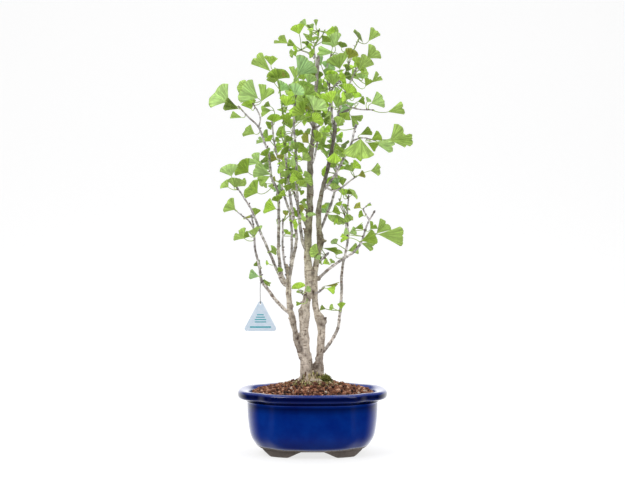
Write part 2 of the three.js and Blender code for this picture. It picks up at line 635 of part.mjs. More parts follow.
// Stands the blade off its wood: toward the viewer or away, at a depth, leaning out to that side.
function standLeaf(plan, side, depth) {
  const { x, z, turn, roll, root, length, spread } = plan;
  const lift = plan.lift * side;
  const along = [Math.cos(turn) * Math.cos(lift), Math.sin(lift), Math.sin(turn) * Math.cos(lift)];
  const facing = across([0, -1, 0], along);
  const up = add(times(facing, Math.cos(roll)), times(cross(along, facing), Math.sin(roll)));
  return { root, base: [x, root[1] + side * depth, z], along, up, length, spread };
}

// The point of the wood nearest to a place in the front view.
function nearest(wood, x, z) {
  let best = wood[0];
  for (const point of wood) {
    const isNearer = Math.hypot(point[0] - x, point[2] - z) < Math.hypot(best[0] - x, best[2] - z);
    best = isNearer ? point : best;
  }
  return best;
}

// Balls [x, y, z, radius] that cover a blade.
function leafProbes(leaf) {
  const side = cross(leaf.along, leaf.up);
  const probes = [];
  for (const reach of [0.35, 0.65, 0.95]) {
    for (const share of [-1, -0.5, 0, 0.5, 1]) {
      const far = reach * leaf.length;
      const turn = leaf.spread * share;
      const spot = add(times(leaf.along, far * Math.cos(turn)), times(side, far * Math.sin(turn)));
      probes.push([...add(leaf.base, spot), 0.2 * leaf.length]);
    }
  }
  return probes;
}

function petioleProbes(leaf) {
  const way = sub(leaf.base, leaf.root);
  return [0.4, 0.7, 1].map((share) => [...add(leaf.root, times(way, share)), petioleClearance]);
}

// Tries one side and then the other, ever further out, until the leaf is off all that was placed before.
const extraDepths = [0, 6, 12, 18, 24, 30, 36];
function clearLeaf(plan, obstacles, owner) {
  const near = (probe, other) =>
    Math.hypot(probe[0] - other.x, probe[1] - other.y, probe[2] - other.z) < probe[3] + other.r;
  for (const extra of extraDepths) {
    for (const side of [plan.side, -plan.side]) {
      const leaf = standLeaf(plan, side, plan.depth + extra);
      const bladeHits = leafProbes(leaf).some((probe) => obstacles.some((other) => near(probe, other)));
      const stalkHits = petioleProbes(leaf).some((probe) =>
        obstacles.some((other) => other.owner !== owner && near(probe, other)));
      if (!bladeHits && !stalkHits) {
        return leaf;
      }
    }
  }
  return standLeaf(plan, plan.side, plan.depth);
}

function leafSolid(leaf) {
  const { root, base, along, up, length, spread } = leaf;
  const side = cross(along, up);
  const reach = Math.hypot(...sub(base, root));
  const bend = sub(base, times(along, reach * 0.45));
  const rings = [];
  let high = up;
  for (const share of length < broadFrom ? [1, 0] : [1, 0.55, 0]) {
    const rest = 1 - share;
    const start = add(times(root, rest * rest), times(bend, 2 * rest * share));
    const place = add(start, times(base, share * share));
    const heading = unit(add(times(sub(bend, root), rest), times(sub(base, bend), share)));
    high = across(high, heading);
    const wide = cross(heading, high);
    const middle = share === 0 ? sub(place, times(heading, rootSink)) : place;
    rings.unshift([
      add(middle, times(wide, petioleRadius)), sub(middle, times(high, petioleRadius)),
      sub(middle, times(wide, petioleRadius)),
    ]);
  }
  const points = [times(rings[0].reduce(add), 1 / 3), ...rings.flat()];
  const faces = [];
  for (let j = 0; j < 3; j += 1) {
    const k = (j + 1) % 3;
    faces.push([0, 1 + k, 1 + j]);
    for (let i = 0; i + 1 < rings.length; i += 1) {
      const low = 1 + 3 * i;
      faces.push([low + j, low + k, low + 3 + k], [low + j, low + 3 + k, low + 3 + j]);
    }
  }
  const [right, bottom, left] = [0, 1, 2].map((j) => 1 + 3 * (rings.length - 1) + j);
  const edge = length < broadFrom ? smallEdge : broadEdge;
  const first = points.length;
  for (const [share, far, rise] of edge) {
    const turn = spread * share;
    const out = far * length;
    const spot = add(times(along, out * Math.cos(turn)), times(side, out * Math.sin(turn)));
    const crest = add(add(base, spot), times(up, rise * length));
    points.push(add(crest, times(up, leafThickness / 2)), sub(crest, times(up, leafThickness / 2)));
  }
  const last = points.length - 2;
  faces.push([bottom, left, first + 1], [left, first, first + 1]);
  for (let i = first; i < last; i += 2) {
    faces.push([left, i + 2, i], [bottom, i + 1, i + 3], [i, i + 2, i + 3], [i, i + 3, i + 1]);
  }
  faces.push([left, right, last], [bottom, last + 1, right], [right, last + 1, last]);
  return solidOf(points, faces);
}

// ---- leafy stems ----
const branchSides = (rows) => (rows[0][3] < 1.5 ? 3 : 4);
const branchOf = (spray) => [spray.stem, ...spray.twigs];

// Points every few millimetres along the straight stretches that the branches' tubes are made of.
function woodOf(spray) {
  return branchOf(spray).flatMap((rows) => {
    const path = smoothRows(rows, woodSpacing);
    return path.slice(1).flatMap((end, i) => [0, 0.25, 0.5, 0.75, 1].map((share) =>
      path[i].map((value, axis) => value + (end[axis] - value) * share)));
  });
}

function obstaclesOf(points, owner, extra) {
  return points.map(([x, y, z, r]) => ({ x, y, z, r: r + extra, owner }));
}

// Each stem is cut free of the trunk and of the stems before it, then its leaves are joined on.
function buildSprays(trunkSleeve) {
  const names = Object.keys(sprays);
  const trunkPoints = Object.values(trunks).flatMap((rows) => smoothRows(rows, 5));
  const obstacles = obstaclesOf(trunkPoints, "trunk", woodClearance);
  for (const name of names) {
    obstacles.push(...obstaclesOf(woodOf(sprays[name]), name, woodClearance));
  }
  const draw = seeded(2024);
  const sleeves = [trunkSleeve];
  return names.map((name) => {
    const wood = woodOf(sprays[name]);
    const leaves = sprays[name].leaves.map((row) => {
      const leaf = clearLeaf(planLeaf(row, wood, draw), obstacles, name);
      obstacles.push(...obstaclesOf(leafProbes(leaf), `${name} leaves`, 0));
      obstacles.push(...obstaclesOf(petioleProbes(leaf), name, 0));
      return leafSolid(leaf);
    });
    const branches = branchOf(sprays[name]);
    const bare = joined(branches.map((rows) => tube(rows, branchSides(rows), woodSpacing)));
    const free = largest(sleeves.reduce((rest, sleeve) => rest.subtract(sleeve), bare));
    sleeves.push(...branches.map((rows) => tube(rows, branchSides(rows), woodSpacing, sleeveGap)));
    return { name, solid: largest(joined([free, ...leaves])) };
  });
}

// ---- tag and its string ----
// The string is tied round the low left branch, runs down past the tag's face and through its hole.
const tie = { centre: [-84, -12, 287], branchRadius: 2.4, along: [-8, -3, 17] };
const tagHole = [-87, -12.5, 251.15];
const holeFromApex = 6.5;
const stringRoute = [
  [-87.3, -13.2, 276], [-87.2, -13.9, 263], [-87, -14, 254.6], [-87, -13.5, 252.5], [-87, -12.4, 252],
  [-87, -11.2, 252],
];

function buildString() {
  const along = unit(tie.along);
  const loopRadius = tie.branchRadius + gap + stringRadius + 0.1;
  const loop = new THREE.TorusGeometry(loopRadius, stringRadius, 5, 10);
  const axis = new THREE.Vector3(0, 0, 1);
  const turn = new THREE.Quaternion().setFromUnitVectors(axis, new THREE.Vector3(...along));
  loop.applyQuaternion(turn).translate(...tie.centre);
  const start = add(tie.centre, times(across([-1, 0, 0], along), loopRadius));
  const places = [start, ...stringRoute].map((point) => new THREE.Vector3(...point));
  const route = new THREE.CatmullRomCurve3(places);
  const section = new THREE.Shape().absarc(0, 0, stringRadius, 0, 2 * Math.PI, false);
  const strand = new THREE.ExtrudeGeometry(section, { steps: 17, curveSegments: 4, extrudePath: route });
  return solidFrom(loop).add(solidFrom(strand));
}

function buildTag() {
  const corner = 4;
  const apex = tagHeight;
  const shape = new THREE.Shape();
  shape.moveTo(-tagHalfWidth + corner, 0);
  shape.lineTo(tagHalfWidth - corner, 0);
  shape.quadraticCurveTo(tagHalfWidth, 0, tagHalfWidth - corner * 0.55, corner);
  shape.lineTo(corner * 0.6, apex - corner * 0.6);
  shape.quadraticCurveTo(0, apex + corner * 0.3, -corner * 0.6, apex - corner * 0.6);
  shape.lineTo(-tagHalfWidth + corner * 0.55, corner);
  shape.quadraticCurveTo(-tagHalfWidth, 0, -tagHalfWidth + corner, 0);
  const hole = new THREE.Path();
  hole.absarc(0, apex - holeFromApex, tagHoleRadius, 0, 2 * Math.PI, true);
  shape.holes.push(hole);
  const sizes = { depth: tagThickness, bevelEnabled: false, curveSegments: 5 };
  const plate = new THREE.ExtrudeGeometry(shape, sizes);
  plate.rotateX(Math.PI / 2);
  plate.translate(tagHole[0], tagHole[1] + tagThickness / 2, tagHole[2] - (apex - holeFromApex));
  return solidFrom(plate);
}

// ---- the assembly ----
const looks = {
  glaze: { color: 0x0c2390, roughness: 0.15, metalness: 0 },
  drainMesh: { color: 0x2b2b2b, roughness: 0.7, metalness: 0 },
  soil: { color: 0x7a4b34, roughness: 0.95, metalness: 0 },
  bark: { color: 0xb9a68f, roughness: 0.85, metalness: 0 },
  leaf: { color: 0x7fb347, roughness: 0.55, metalness: 0 },
  string: { color: 0x5b564f, roughness: 0.9, metalness: 0 },
  tag: { color: 0xdfe6f2, roughness: 0.4, metalness: 0 },
};

const tree = new THREE.Group();

function place(name, solid, look) {
  const mesh = new THREE.Mesh(geometryOf(solid), new THREE.MeshStandardMaterial(looks[look]));
  mesh.name = name;
  tree.add(mesh);
}

place("pot", buildPot(), "glaze");
place("drain_mesh_left", buildDrainMesh(-drainOffset), "drainMesh");
place("drain_mesh_right", buildDrainMesh(drainOffset), "drainMesh");
place("soil", buildSoil(), "soil");
place("trunk", largest(joined(trunkTubes(0))), "bark");
for (const { name, solid } of buildSprays(joined(trunkTubes(sleeveGap)))) {
  place(name, solid, "leaf");
}

// The origin is below the middle of the tree and pot together, which the tag doesn't shift.
const extent = new THREE.Box3().setFromObject(tree, true);
const centre = extent.getCenter(new THREE.Vector3());
place("tag_string", buildString(), "string");
place("tag", buildTag(), "tag");
tree.position.set(-centre.x, -centre.y, -extent.min.z);

export default tree;
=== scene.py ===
import math
import bpy
import numpy as np
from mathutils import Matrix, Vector


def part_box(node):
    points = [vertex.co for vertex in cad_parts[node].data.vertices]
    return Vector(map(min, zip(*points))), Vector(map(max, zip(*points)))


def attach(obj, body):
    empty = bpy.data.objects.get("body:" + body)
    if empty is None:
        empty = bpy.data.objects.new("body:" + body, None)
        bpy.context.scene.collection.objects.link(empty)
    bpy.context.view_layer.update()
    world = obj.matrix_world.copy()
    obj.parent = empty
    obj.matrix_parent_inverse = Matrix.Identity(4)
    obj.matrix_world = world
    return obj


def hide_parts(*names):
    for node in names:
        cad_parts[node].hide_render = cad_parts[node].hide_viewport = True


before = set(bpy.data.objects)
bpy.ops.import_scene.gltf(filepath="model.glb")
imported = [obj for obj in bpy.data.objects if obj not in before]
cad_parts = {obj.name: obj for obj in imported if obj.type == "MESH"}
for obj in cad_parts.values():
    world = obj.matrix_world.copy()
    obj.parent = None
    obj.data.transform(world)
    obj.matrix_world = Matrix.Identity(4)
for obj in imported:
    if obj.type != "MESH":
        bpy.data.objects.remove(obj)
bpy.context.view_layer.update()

mm = 0.001
rootBody = "root"

# The growth tables are in mm with the pot's middle at 0, 0, so that is where they are set in the frame.
potLow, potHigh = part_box("pot")
potMiddle = np.array([(potLow.x + potHigh.x) / 2, (potLow.y + potHigh.y) / 2, 0])


def inFrame(points):
    # the tables' millimetres to the frame's metres
    return np.asarray(points, float) * mm + potMiddle


print("camera")
# level, in front, at about the height of the middle of the tree; metres, and millimetres for lens and sensor
cameraSetup = {"distance": 2.1, "height": 0.36, "lens": 72, "sensor": 36}

cameraData = bpy.data.cameras.new("camera")
cameraData.lens = cameraSetup["lens"]
cameraData.sensor_width = cameraSetup["sensor"]
camera = bpy.data.objects.new("camera", cameraData)
bpy.context.scene.collection.objects.link(camera)
camera.location = (potMiddle[0], potMiddle[1] - cameraSetup["distance"], cameraSetup["height"])
camera.rotation_euler = (math.radians(90), 0, 0)
bpy.context.scene.camera = camera

drawFactor = 16807
drawModulus = 2147483647


def seeded(start):
    # the same draws on every run: each state is the last one times a factor, modulo a prime
    state = start
    while True:
        state = (state * drawFactor) % drawModulus
        yield state / drawModulus


def unit(vectors):
    # each vector divided by its length
    vectors = np.asarray(vectors, float)
    return vectors / np.maximum(np.linalg.norm(vectors, axis=-1, keepdims=True), 1e-12)


def across(vector, along):
    # the vector less its share along a unit direction, at length 1
    return unit(vector - along * np.dot(vector, along))


def smoothRows(rows, spacing):
    # Catmull-Rom: a cubic through the rows' places, while the radius runs straight from row to row
    rows = np.array(rows, float)
    places = rows[:, :3]
    padded = np.vstack([2 * places[:1] - places[1:2], places, 2 * places[-1:] - places[-2:-1]])
    smooth = []
    for i in range(len(rows) - 1):
        before, start, end, after = padded[i:i + 4]
        steps = max(1, math.floor(math.dist(start, end) / spacing + 0.5))
        share = (np.arange(steps) / steps)[:, None]
        startSlope = (end - before) / 2
        endSlope = (after - start) / 2
        bend = 3 * (end - start) - 2 * startSlope - endSlope
        twist = 2 * (start - end) + startSlope + endSlope
        place = start + share * (startSlope + share * (bend + share * twist))
        radius = rows[i, 3] + (rows[i + 1, 3] - rows[i, 3]) * share
        smooth.append(np.hstack([place, radius]))
    return np.vstack([*smooth, rows[-1:]])


def gridFaces(rows, columns, closed=False, flipped=False):
    # one quad for each cell of a grid; a closed grid also joins its last column to its first
    row = np.arange(rows - 1)[:, None] * columns
    column = np.arange(columns if closed else columns - 1)[None, :]
    following = (column + 1) % columns
    corners = [row + column, row + following, row + columns + following, row + columns + column]
    quads = np.stack(corners, -1).reshape(-1, 4)
    return quads[:, ::-1] if flipped else quads


def ringFaces(count, sides):
    # quads between the rings, and a fan on the first and the last ring round the two points that follow them
    side = np.arange(sides)
    following = (side + 1) % sides
    top = (count - 1) * sides
    first = np.stack([np.full(sides, count * sides), following, side], -1)
    last = np.stack([np.full(sides, count * sides + 1), top + side, top + following], -1)
    return [gridFaces(count, sides, closed=True), first, last]


def tubeSurface(path, radii, sides):
    # a circle carried along a path: centre + radius * (cos * normal + sin * binormal), closed by two fans
    path = np.asarray(path, float)
    count = len(path)
    tangents = unit(np.gradient(path, axis=0))
    reference = np.eye(3)[np.argmin(np.abs(tangents).max(axis=0))]
    normals = unit(reference - tangents * (tangents @ reference)[:, None])
    binormals = np.cross(tangents, normals)
    turn = np.linspace(0, 2 * math.pi, sides, endpoint=False)[None, :, None]
    rims = np.cos(turn) * normals[:, None] + np.sin(turn) * binormals[:, None]
    radii = np.broadcast_to(np.asarray(radii, float).reshape(count, -1), (count, sides))
    rings = path[:, None] + rims * radii[:, :, None]
    points = np.vstack([rings.reshape(-1, 3), path[:1], path[-1:]])
    along = np.repeat(np.linspace(0, 1, count), sides)
    uv = np.stack([np.tile(np.arange(sides) / sides, count), along], -1)
    uv = np.vstack([uv, [[0.5, 0], [0.5, 1]]])
    return {"points": points, "faces": ringFaces(count, sides), "uv": uv}


def gather(parts):
    # many surfaces as one: points in a row, each part's faces moved on by the points before it
    starts = np.cumsum([0] + [len(part["points"]) for part in parts])
    faces = [face + start for part, start in zip(parts, starts) for face in part["faces"]]
    whole = {"points": np.vstack([part["points"] for part in parts]), "faces": faces}
    for key in ("uv", "tint"):
        if key in parts[0]:
            whole[key] = np.vstack([part[key] for part in parts])
    return whole


def tinted(part, colour):
    # the same colour on every point, or one colour for each point
    part["tint"] = np.broadcast_to(np.asarray(colour, float), (len(part["points"]), 3)).copy()
    return part


def paintPoints(mesh, tint):
    # one colour for each point, which the materials read as the tint
    layer = mesh.attributes.new("tint", "FLOAT_COLOR", "POINT")
    colours = np.hstack([tint, np.ones((len(tint), 1))])
    layer.data.foreach_set("color", colours.astype(np.float32).ravel())


def addPiece(name, part, materials, smooth=True, nodes=()):
    # the surface as an object at the origin, which rides on the root body
    corners = np.concatenate([face.ravel() for face in part["faces"]])
    sizes = np.concatenate([np.full(len(face), face.shape[1]) for face in part["faces"]])
    mesh = bpy.data.meshes.new(name)
    mesh.vertices.add(len(part["points"]))
    mesh.vertices.foreach_set("co", inFrame(part["points"]).astype(np.float32).ravel())
    mesh.loops.add(len(corners))
    mesh.loops.foreach_set("vertex_index", corners.astype(np.int32))
    mesh.polygons.add(len(sizes))
    mesh.polygons.foreach_set("loop_start", (np.cumsum(sizes) - sizes).astype(np.int32))
    mesh.polygons.foreach_set("use_smooth", np.full(len(sizes), smooth))
    if "look" in part:
        mesh.polygons.foreach_set("material_index", part["look"].astype(np.int32))
    if "uv" in part:
        layer = mesh.uv_layers.new(name="UVMap")
        layer.data.foreach_set("uv", part["uv"][corners].astype(np.float32).ravel())
    if "tint" in part:
        paintPoints(mesh, part["tint"])
    mesh.update(calc_edges=True)
    piece = bpy.data.objects.new(name, mesh)
    bpy.context.scene.collection.objects.link(piece)
    for material in materials:
        mesh.materials.append(material)
    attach(piece, rootBody)
    if nodes:
        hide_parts(*nodes)
    return piece


def linear(red, green, blue):
    # the usual 0 to 255 colour values as the linear ones that a shader takes
    share = np.array([red, green, blue]) / 255
    return np.where(share > 0.04045, ((share + 0.055) / 1.055) ** 2.4, share / 12.92)


def newMaterial(name, colour, roughness, **sockets):
    # a Principled shader with its plain values on its own sockets
    material = bpy.data.materials.new(name)
    material.use_nodes = True
    shader = material.node_tree.nodes["Principled BSDF"]
    shader.inputs["Base Color"].default_value = (*colour, 1)
    shader.inputs["Roughness"].default_value = roughness
    for socket, value in sockets.items():
        shader.inputs[socket.replace("_", " ")].default_value = value
    material.diffuse_color = (*colour, 1)
    return material


def addNode(material, kind, inputs=None, **settings):
    # a node of the kind, with its settings, and its inputs linked or set; the room takes them too
    tree = material.node_tree
    node = tree.nodes.new("ShaderNode" + kind)
    for setting, value in settings.items():
        setattr(node, setting, value)
    for socket, value in (inputs or {}).items():
        if isinstance(value, bpy.types.NodeSocket):
            tree.links.new(value, node.inputs[socket])
        else:
            node.inputs[socket].default_value = value
    return node


def place(material, scale=(1, 1, 1)):
    # the piece's own coordinates, in metres, stretched by a scale
    source = addNode(material, "TexCoord").outputs["Object"]
    return addNode(material, "Mapping", {"Vector": source, "Scale": scale}).outputs["Vector"]


def noise(material, vector, scale, detail=4, roughness=0.6):
    # soft noise, with so many lumps to the metre and so many finer layers
    inputs = {"Vector": vector, "Scale": scale, "Detail": detail, "Roughness": roughness}
    return addNode(material, "TexNoise", inputs).outputs["Fac"]


def grain(material, scale, **settings):
    # noise on the piece's own coordinates
    return noise(material, place(material), scale, **settings)


def ramp(material, value, stops):
    # a colour for each value, from rows of [value, colour]
    node = addNode(material, "ValToRGB", {"Fac": value})
    elements = node.color_ramp.elements
    while len(elements) < len(stops):
        elements.new(0.5)
    for element, (position, colour) in zip(elements, stops):
        element.position = position
        element.color = (*colour, 1)
    return node.outputs["Color"]


def mixed(material, share, first, second, blend="MIX"):
    # two colours blended by a share, or one multiplied into the other
    node = addNode(material, "Mix", data_type="RGBA", blend_type=blend)
    for socket, value in ((node.inputs[0], share), (node.inputs[6], first), (node.inputs[7], second)):
        if isinstance(value, bpy.types.NodeSocket):
            material.node_tree.links.new(value, socket)
        else:
            socket.default_value = value if np.isscalar(value) else (*value, 1)
    return node.outputs[2]


def between(material, value, low, high, outLow=0.0, outHigh=1.0):
    # a value moved from one range to another, held at the ends
    inputs = {"Value": value, "From Min": low, "From Max": high, "To Min": outLow, "To Max": outHigh}
    return addNode(material, "MapRange", inputs).outputs["Result"]


def setSocket(material, socket, value):
    # a value into one of the shader's own sockets
    material.node_tree.links.new(value, material.node_tree.nodes["Principled BSDF"].inputs[socket])


def setBump(material, height, distance, strength=1.0):
    # a height as bumps of a real depth, in metres
    node = addNode(material, "Bump", {"Height": height, "Distance": distance, "Strength": strength})
    setSocket(material, "Normal", node.outputs["Normal"])


def tintOf(material):
    # the colour that the piece carries at each point
    return addNode(material, "Attribute", attribute_name="tint").outputs["Color"]


def glazeMaterial():
    # cobalt glaze under a hard gloss; of the tint, red sets the painted shade (lower is darker) and green how
    # thin it runs
    material = newMaterial("cobalt_glaze", linear(2, 30, 118), 0.045, Specular_IOR_Level=0.42)
    clouds = grain(material, 24, detail=3)
    colour = ramp(material, clouds, [[0.3, linear(0, 30, 116)], [0.7, linear(2, 48, 136)]])
    specks = between(material, grain(material, 900, detail=1), 0.7, 0.78)
    colour = mixed(material, specks, colour, linear(14, 52, 142))
    shares = addNode(material, "SeparateColor", {"Color": tintOf(material)}).outputs
    # painted shade: the colour darkened toward navy where the tint's red is low
    colour = mixed(material, shares["Red"], linear(0, 0, 34), colour)
    setSocket(material, "Base Color", mixed(material, shares["Green"], colour, linear(124, 132, 134)))
    setBump(material, grain(material, 16, detail=1), 0.0012, 0.25)
    return material


def clayMaterial():
    # unglazed, slightly sandy, grey-brown stoneware
    material = newMaterial("bare_clay", linear(100, 90, 84), 0.85)
    patches = grain(material, 35)
    colour = ramp(material, patches, [[0.3, linear(82, 74, 68)], [0.7, linear(114, 104, 98)]])
    grains = between(material, grain(material, 1400, detail=2), 0.6, 0.75)
    setSocket(material, "Base Color", mixed(material, grains, colour, linear(58, 50, 48)))
    setBump(material, grain(material, 1200, detail=3), 0.0003, 0.5)
    return material


def granuleMaterial():
    # fired red-brown granules; each carries its own tint
    material = newMaterial("soil_granules", linear(120, 74, 50), 0.93)
    dust = grain(material, 700)
    shade = ramp(material, dust, [[0.3, grey(0.5)], [0.7, (1.3, 1.25, 1.2)]])
    setSocket(material, "Base Color", mixed(material, 1.0, tintOf(material), shade, "MULTIPLY"))
    setBump(material, grain(material, 1500), 0.0004, 0.6)
    return material


def barkMaterial():
    # pale bark, blotched, with fine dark rings and pores across it and a few cracks along it
    material = newMaterial("bark", linear(196, 180, 164), 0.85)
    blotches = noise(material, place(material, (1, 1, 0.7)), 170, detail=6, roughness=0.7)
    stops = [
        [0.3, (0.3, 0.26, 0.22)], [0.43, (0.8, 0.77, 0.74)], [0.56, (1.1, 1.09, 1.08)],
        [0.72, (1.44, 1.44, 1.46)],
    ]
    colour = mixed(material, 1.0, tintOf(material), ramp(material, blotches, stops), "MULTIPLY")
    rings = noise(material, place(material, (0.22, 0.22, 1)), 420, detail=3)
    colour = mixed(material, between(material, rings, 0.57, 0.64, 0, 0.85), colour, linear(104, 76, 58))
    cracks = noise(material, place(material, (1, 1, 0.2)), 420, detail=2)
    colour = mixed(material, between(material, cracks, 0.4, 0.33, 0, 0.85), colour, linear(78, 62, 50))
    setSocket(material, "Base Color", colour)
    setBump(material, mixed(material, 0.5, blotches, rings), 0.0009, 0.8)
    return material


leafLines = {"veins": 170.0, "pleatShading": (17.0, 1.3, 1.0), "drift": (34, 34, 34)}


def grey(value):
    # the same share of red, green and blue
    return (value, value, value)


def leafMaterial():
    # thin leaf, its veins fanning from the stalk; UV holds the share across and the share along
    material = newMaterial("ginkgo_leaf", linear(120, 160, 70), 0.55, Specular_IOR_Level=0.25)
    uv = addNode(material, "UVMap", uv_map="UVMap").outputs["UV"]
    parts = addNode(material, "SeparateXYZ", {"Vector": uv})
    inputs = {0: parts.outputs["X"], 1: leafLines["veins"]}
    veins = addNode(material, "Math", inputs, operation="MULTIPLY").outputs["Value"]
    veins = addNode(material, "Math", {0: veins}, operation="SINE").outputs["Value"]
    lines = between(material, veins, 0.2, 1.0, 0, 0.42)
    blade = mixed(material, lines, tintOf(material), linear(200, 222, 140))
    # a paler, yellower margin: partly the leaf's own edge, partly painted light where light passes through
    # the thin edge
    margin = between(material, parts.outputs["Y"], 0.84, 1.0, 0, 0.35)
    blade = mixed(material, margin, blade, linear(176, 206, 96))
    stalk = between(material, parts.outputs["Y"], 0.0, 0.3, 0.4, 0)
    blade = mixed(material, stalk, blade, linear(182, 204, 112))
    clouds = ramp(material, grain(material, 90, detail=3), [[0.3, grey(0.86)], [0.7, grey(1.12)]])
    blade = mixed(material, 1.0, blade, clouds, "MULTIPLY")
    # painted light and shade of the pleats: light and dark streaks that run out from the stalk, shifted by
    # where the leaf stands
    fanned = addNode(material, "Mapping", {"Vector": uv, "Scale": leafLines["pleatShading"]}).outputs["Vector"]
    shift = place(material, leafLines["drift"])
    fanned = addNode(material, "VectorMath", {0: fanned, 1: shift}, operation="ADD").outputs["Vector"]
    streaks = noise(material, fanned, 1.0, detail=2)
    pleatShading = ramp(material, streaks, [[0.34, grey(0.68)], [0.5, grey(0.98)], [0.66, grey(1.38)]])
    setSocket(material, "Base Color", mixed(material, 1.0, blade, pleatShading, "MULTIPLY"))
    setBump(material, veins, 0.0003, 0.5)
    return material


def mossMaterial():
    # dull moss, lighter and darker in clumps
    material = newMaterial("moss", linear(110, 120, 40), 0.95)
    clumps = ramp(material, grain(material, 300), [[0.3, grey(0.6)], [0.7, grey(1.3)]])
    setSocket(material, "Base Color", mixed(material, 1.0, tintOf(material), clumps, "MULTIPLY"))
    return material


def cloudedMaterial(name, colour, roughness, scale, stops):
    # a plain finish whose colour runs through its stops in soft clouds
    material = newMaterial(name, colour, roughness)
    setSocket(material, "Base Color", ramp(material, grain(material, scale), stops))
    return material


def threadMaterial():
    # twisted thread: fine stripes that run round and along it
    material = newMaterial("thread", linear(84, 80, 78), 0.9)
    uv = addNode(material, "UVMap", uv_map="UVMap").outputs["UV"]
    twist = addNode(material, "TexWave", {"Vector": uv, "Scale": 12.0}, bands_direction="DIAGONAL")
    stripes = twist.outputs["Fac"]
    colour = ramp(material, stripes, [[0, linear(58, 54, 54)], [1, linear(120, 116, 112)]])
    setSocket(material, "Base Color", colour)
    setBump(material, stripes, 0.0002, 0.6)
    return material


print("materials")
glaze = glazeMaterial()
clay = clayMaterial()
granule = granuleMaterial()
bark = barkMaterial()
leafGreen = leafMaterial()
moss = mossMaterial()
# black plastic of the drain mesh, a little dusty
dusty = [[0.4, linear(34, 34, 36)], [0.8, linear(90, 80, 72)]]
plastic = cloudedMaterial("drain_mesh_plastic", linear(40, 40, 42), 0.6, 200, dusty)
# pale card with the faint mottling of a laminate
laminate = [[0.35, linear(206, 224, 240)], [0.65, linear(222, 234, 246)]]
card = cloudedMaterial("tag_card", linear(206, 216, 236), 0.35, 160, laminate)
printing = [[0.3, linear(30, 156, 172)], [0.7, linear(60, 182, 194)]]
ink = cloudedMaterial("tag_ink", linear(60, 176, 190), 0.45, 500, printing)
thread = threadMaterial()


print("pot")
pot = {
    "halfWidth": 125.5, "halfDepth": 100, "planPower": 2.5, "creaseDepth": 0.055, "creaseWidth": 9,
    "wallCrease": 0.4, "creaseFade": [88, 92],
    "sides": 224, "footHeight": 11, "floorTop": 21, "drainRadius": 8, "drainOffset": 42,
    "glazeLine": 14.6, "glazeRise": 4.2, "glazeWave": 0.5, "glazeThickness": 0.4,
    "footWidth": 20, "footMiddleGap": 3, "footLean": 3.5, "footRoundness": 0.45,
}
# [inset from the rim, height]: up the wall to a bead under the lip, over the lip, and down the inside
wallProfile = [[39.4, 11], [36.3, 12.6], [29, 19.5], [21.5, 34], [17.4, 60], [16.2, 84], [16.1, 87.6]]
beadProfile = [[15.6, 88.2], [14.7, 89.2], [14.6, 90.4], [15.2, 91.3]]
lipProfile = [
    [14.4, 91.9], [9.5, 93.2], [4.6, 94.6], [1.5, 96.2], [0.2, 98.8], [0, 102], [0.5, 104.6], [1.9, 106.6],
    [4.6, 107.8], [8, 108], [12.5, 107.5],
]
# painted shade at each height, 1 for none: the glaze is darkened under the lip, on the lip's front and low on
# the wall, where shade and dark reflections fall
paintedGlazeShade = [
    [11, 0.4], [20, 0.62], [36, 0.94], [62, 1], [74, 0.9], [80, 0.6], [84, 0.35], [86.5, 0.75], [88.6, 1],
    [89.6, 0.3], [92, 0.1], [94.6, 0.2], [96.5, 0.5], [98.4, 0.3], [100.5, 0.1], [104, 0.2], [106, 0.9],
    [108, 1],
]
innerProfile = [[17.2, 106.5], [19.4, 104.8], [22, 97], [25, 60], [31, 32], [41, 21]]
# how far apart the points of each profile are
wallSpacing = 1.4
innerSpacing = 4
# underside of a foot, from the pot's middle out to its corner: [x, height]
footUnderside = [[18, 10.4], [26, 7], [34, 3], [42, 0], [55, 0], [68, 0], [77, 5.4], [85, 11]]


def planShare(turn, creased=1):
    # superellipse radius: (|cos|^p + |sin|^p)^(-1/p), pinched by a bell curve at each 45 degree corner
    wide = np.abs(np.cos(turn))
    deep = np.abs(np.sin(turn))
    fromCrease = (np.arctan2(deep, wide) - math.pi / 4) / math.radians(pot["creaseWidth"])
    pinch = 1 - pot["creaseDepth"] * creased * np.exp(-fromCrease ** 2)
    return pinch * (wide ** pot["planPower"] + deep ** pot["planPower"]) ** (-1 / pot["planPower"])


def turnedAround(turn, inset, height, creased=1):
    # the plan's outline drawn in by an inset, at a height
    share = planShare(turn, creased)
    x = (pot["halfWidth"] - inset) * share * np.cos(turn)
    y = (pot["halfDepth"] - inset) * share * np.sin(turn)
    return np.stack([x, y, height + 0 * x], -1)


def finely(profile, spacing):
    # the profile as a smooth line of close points
    rows = [[inset, 0, height, 0] for inset, height in profile]
    return smoothRows(rows, spacing)[:, [0, 2]]


def closedSurface(rings, look=None, tint=None):
    # a stack of rings, closed by a fan on the first and one on the last; a look and a tint for each ring
    count, sides = rings.shape[:2]
    points = np.vstack([rings.reshape(-1, 3), rings[0].mean(0), rings[-1].mean(0)])
    part = {"points": points, "faces": ringFaces(count, sides)}
    if look is not None:
        part["look"] = np.repeat([*look[:-1], look[0], look[-1]], sides)
    if tint is not None:
        part["tint"] = np.vstack([np.repeat(tint, sides, axis=0), tint[:1], tint[-1:]])
    return part


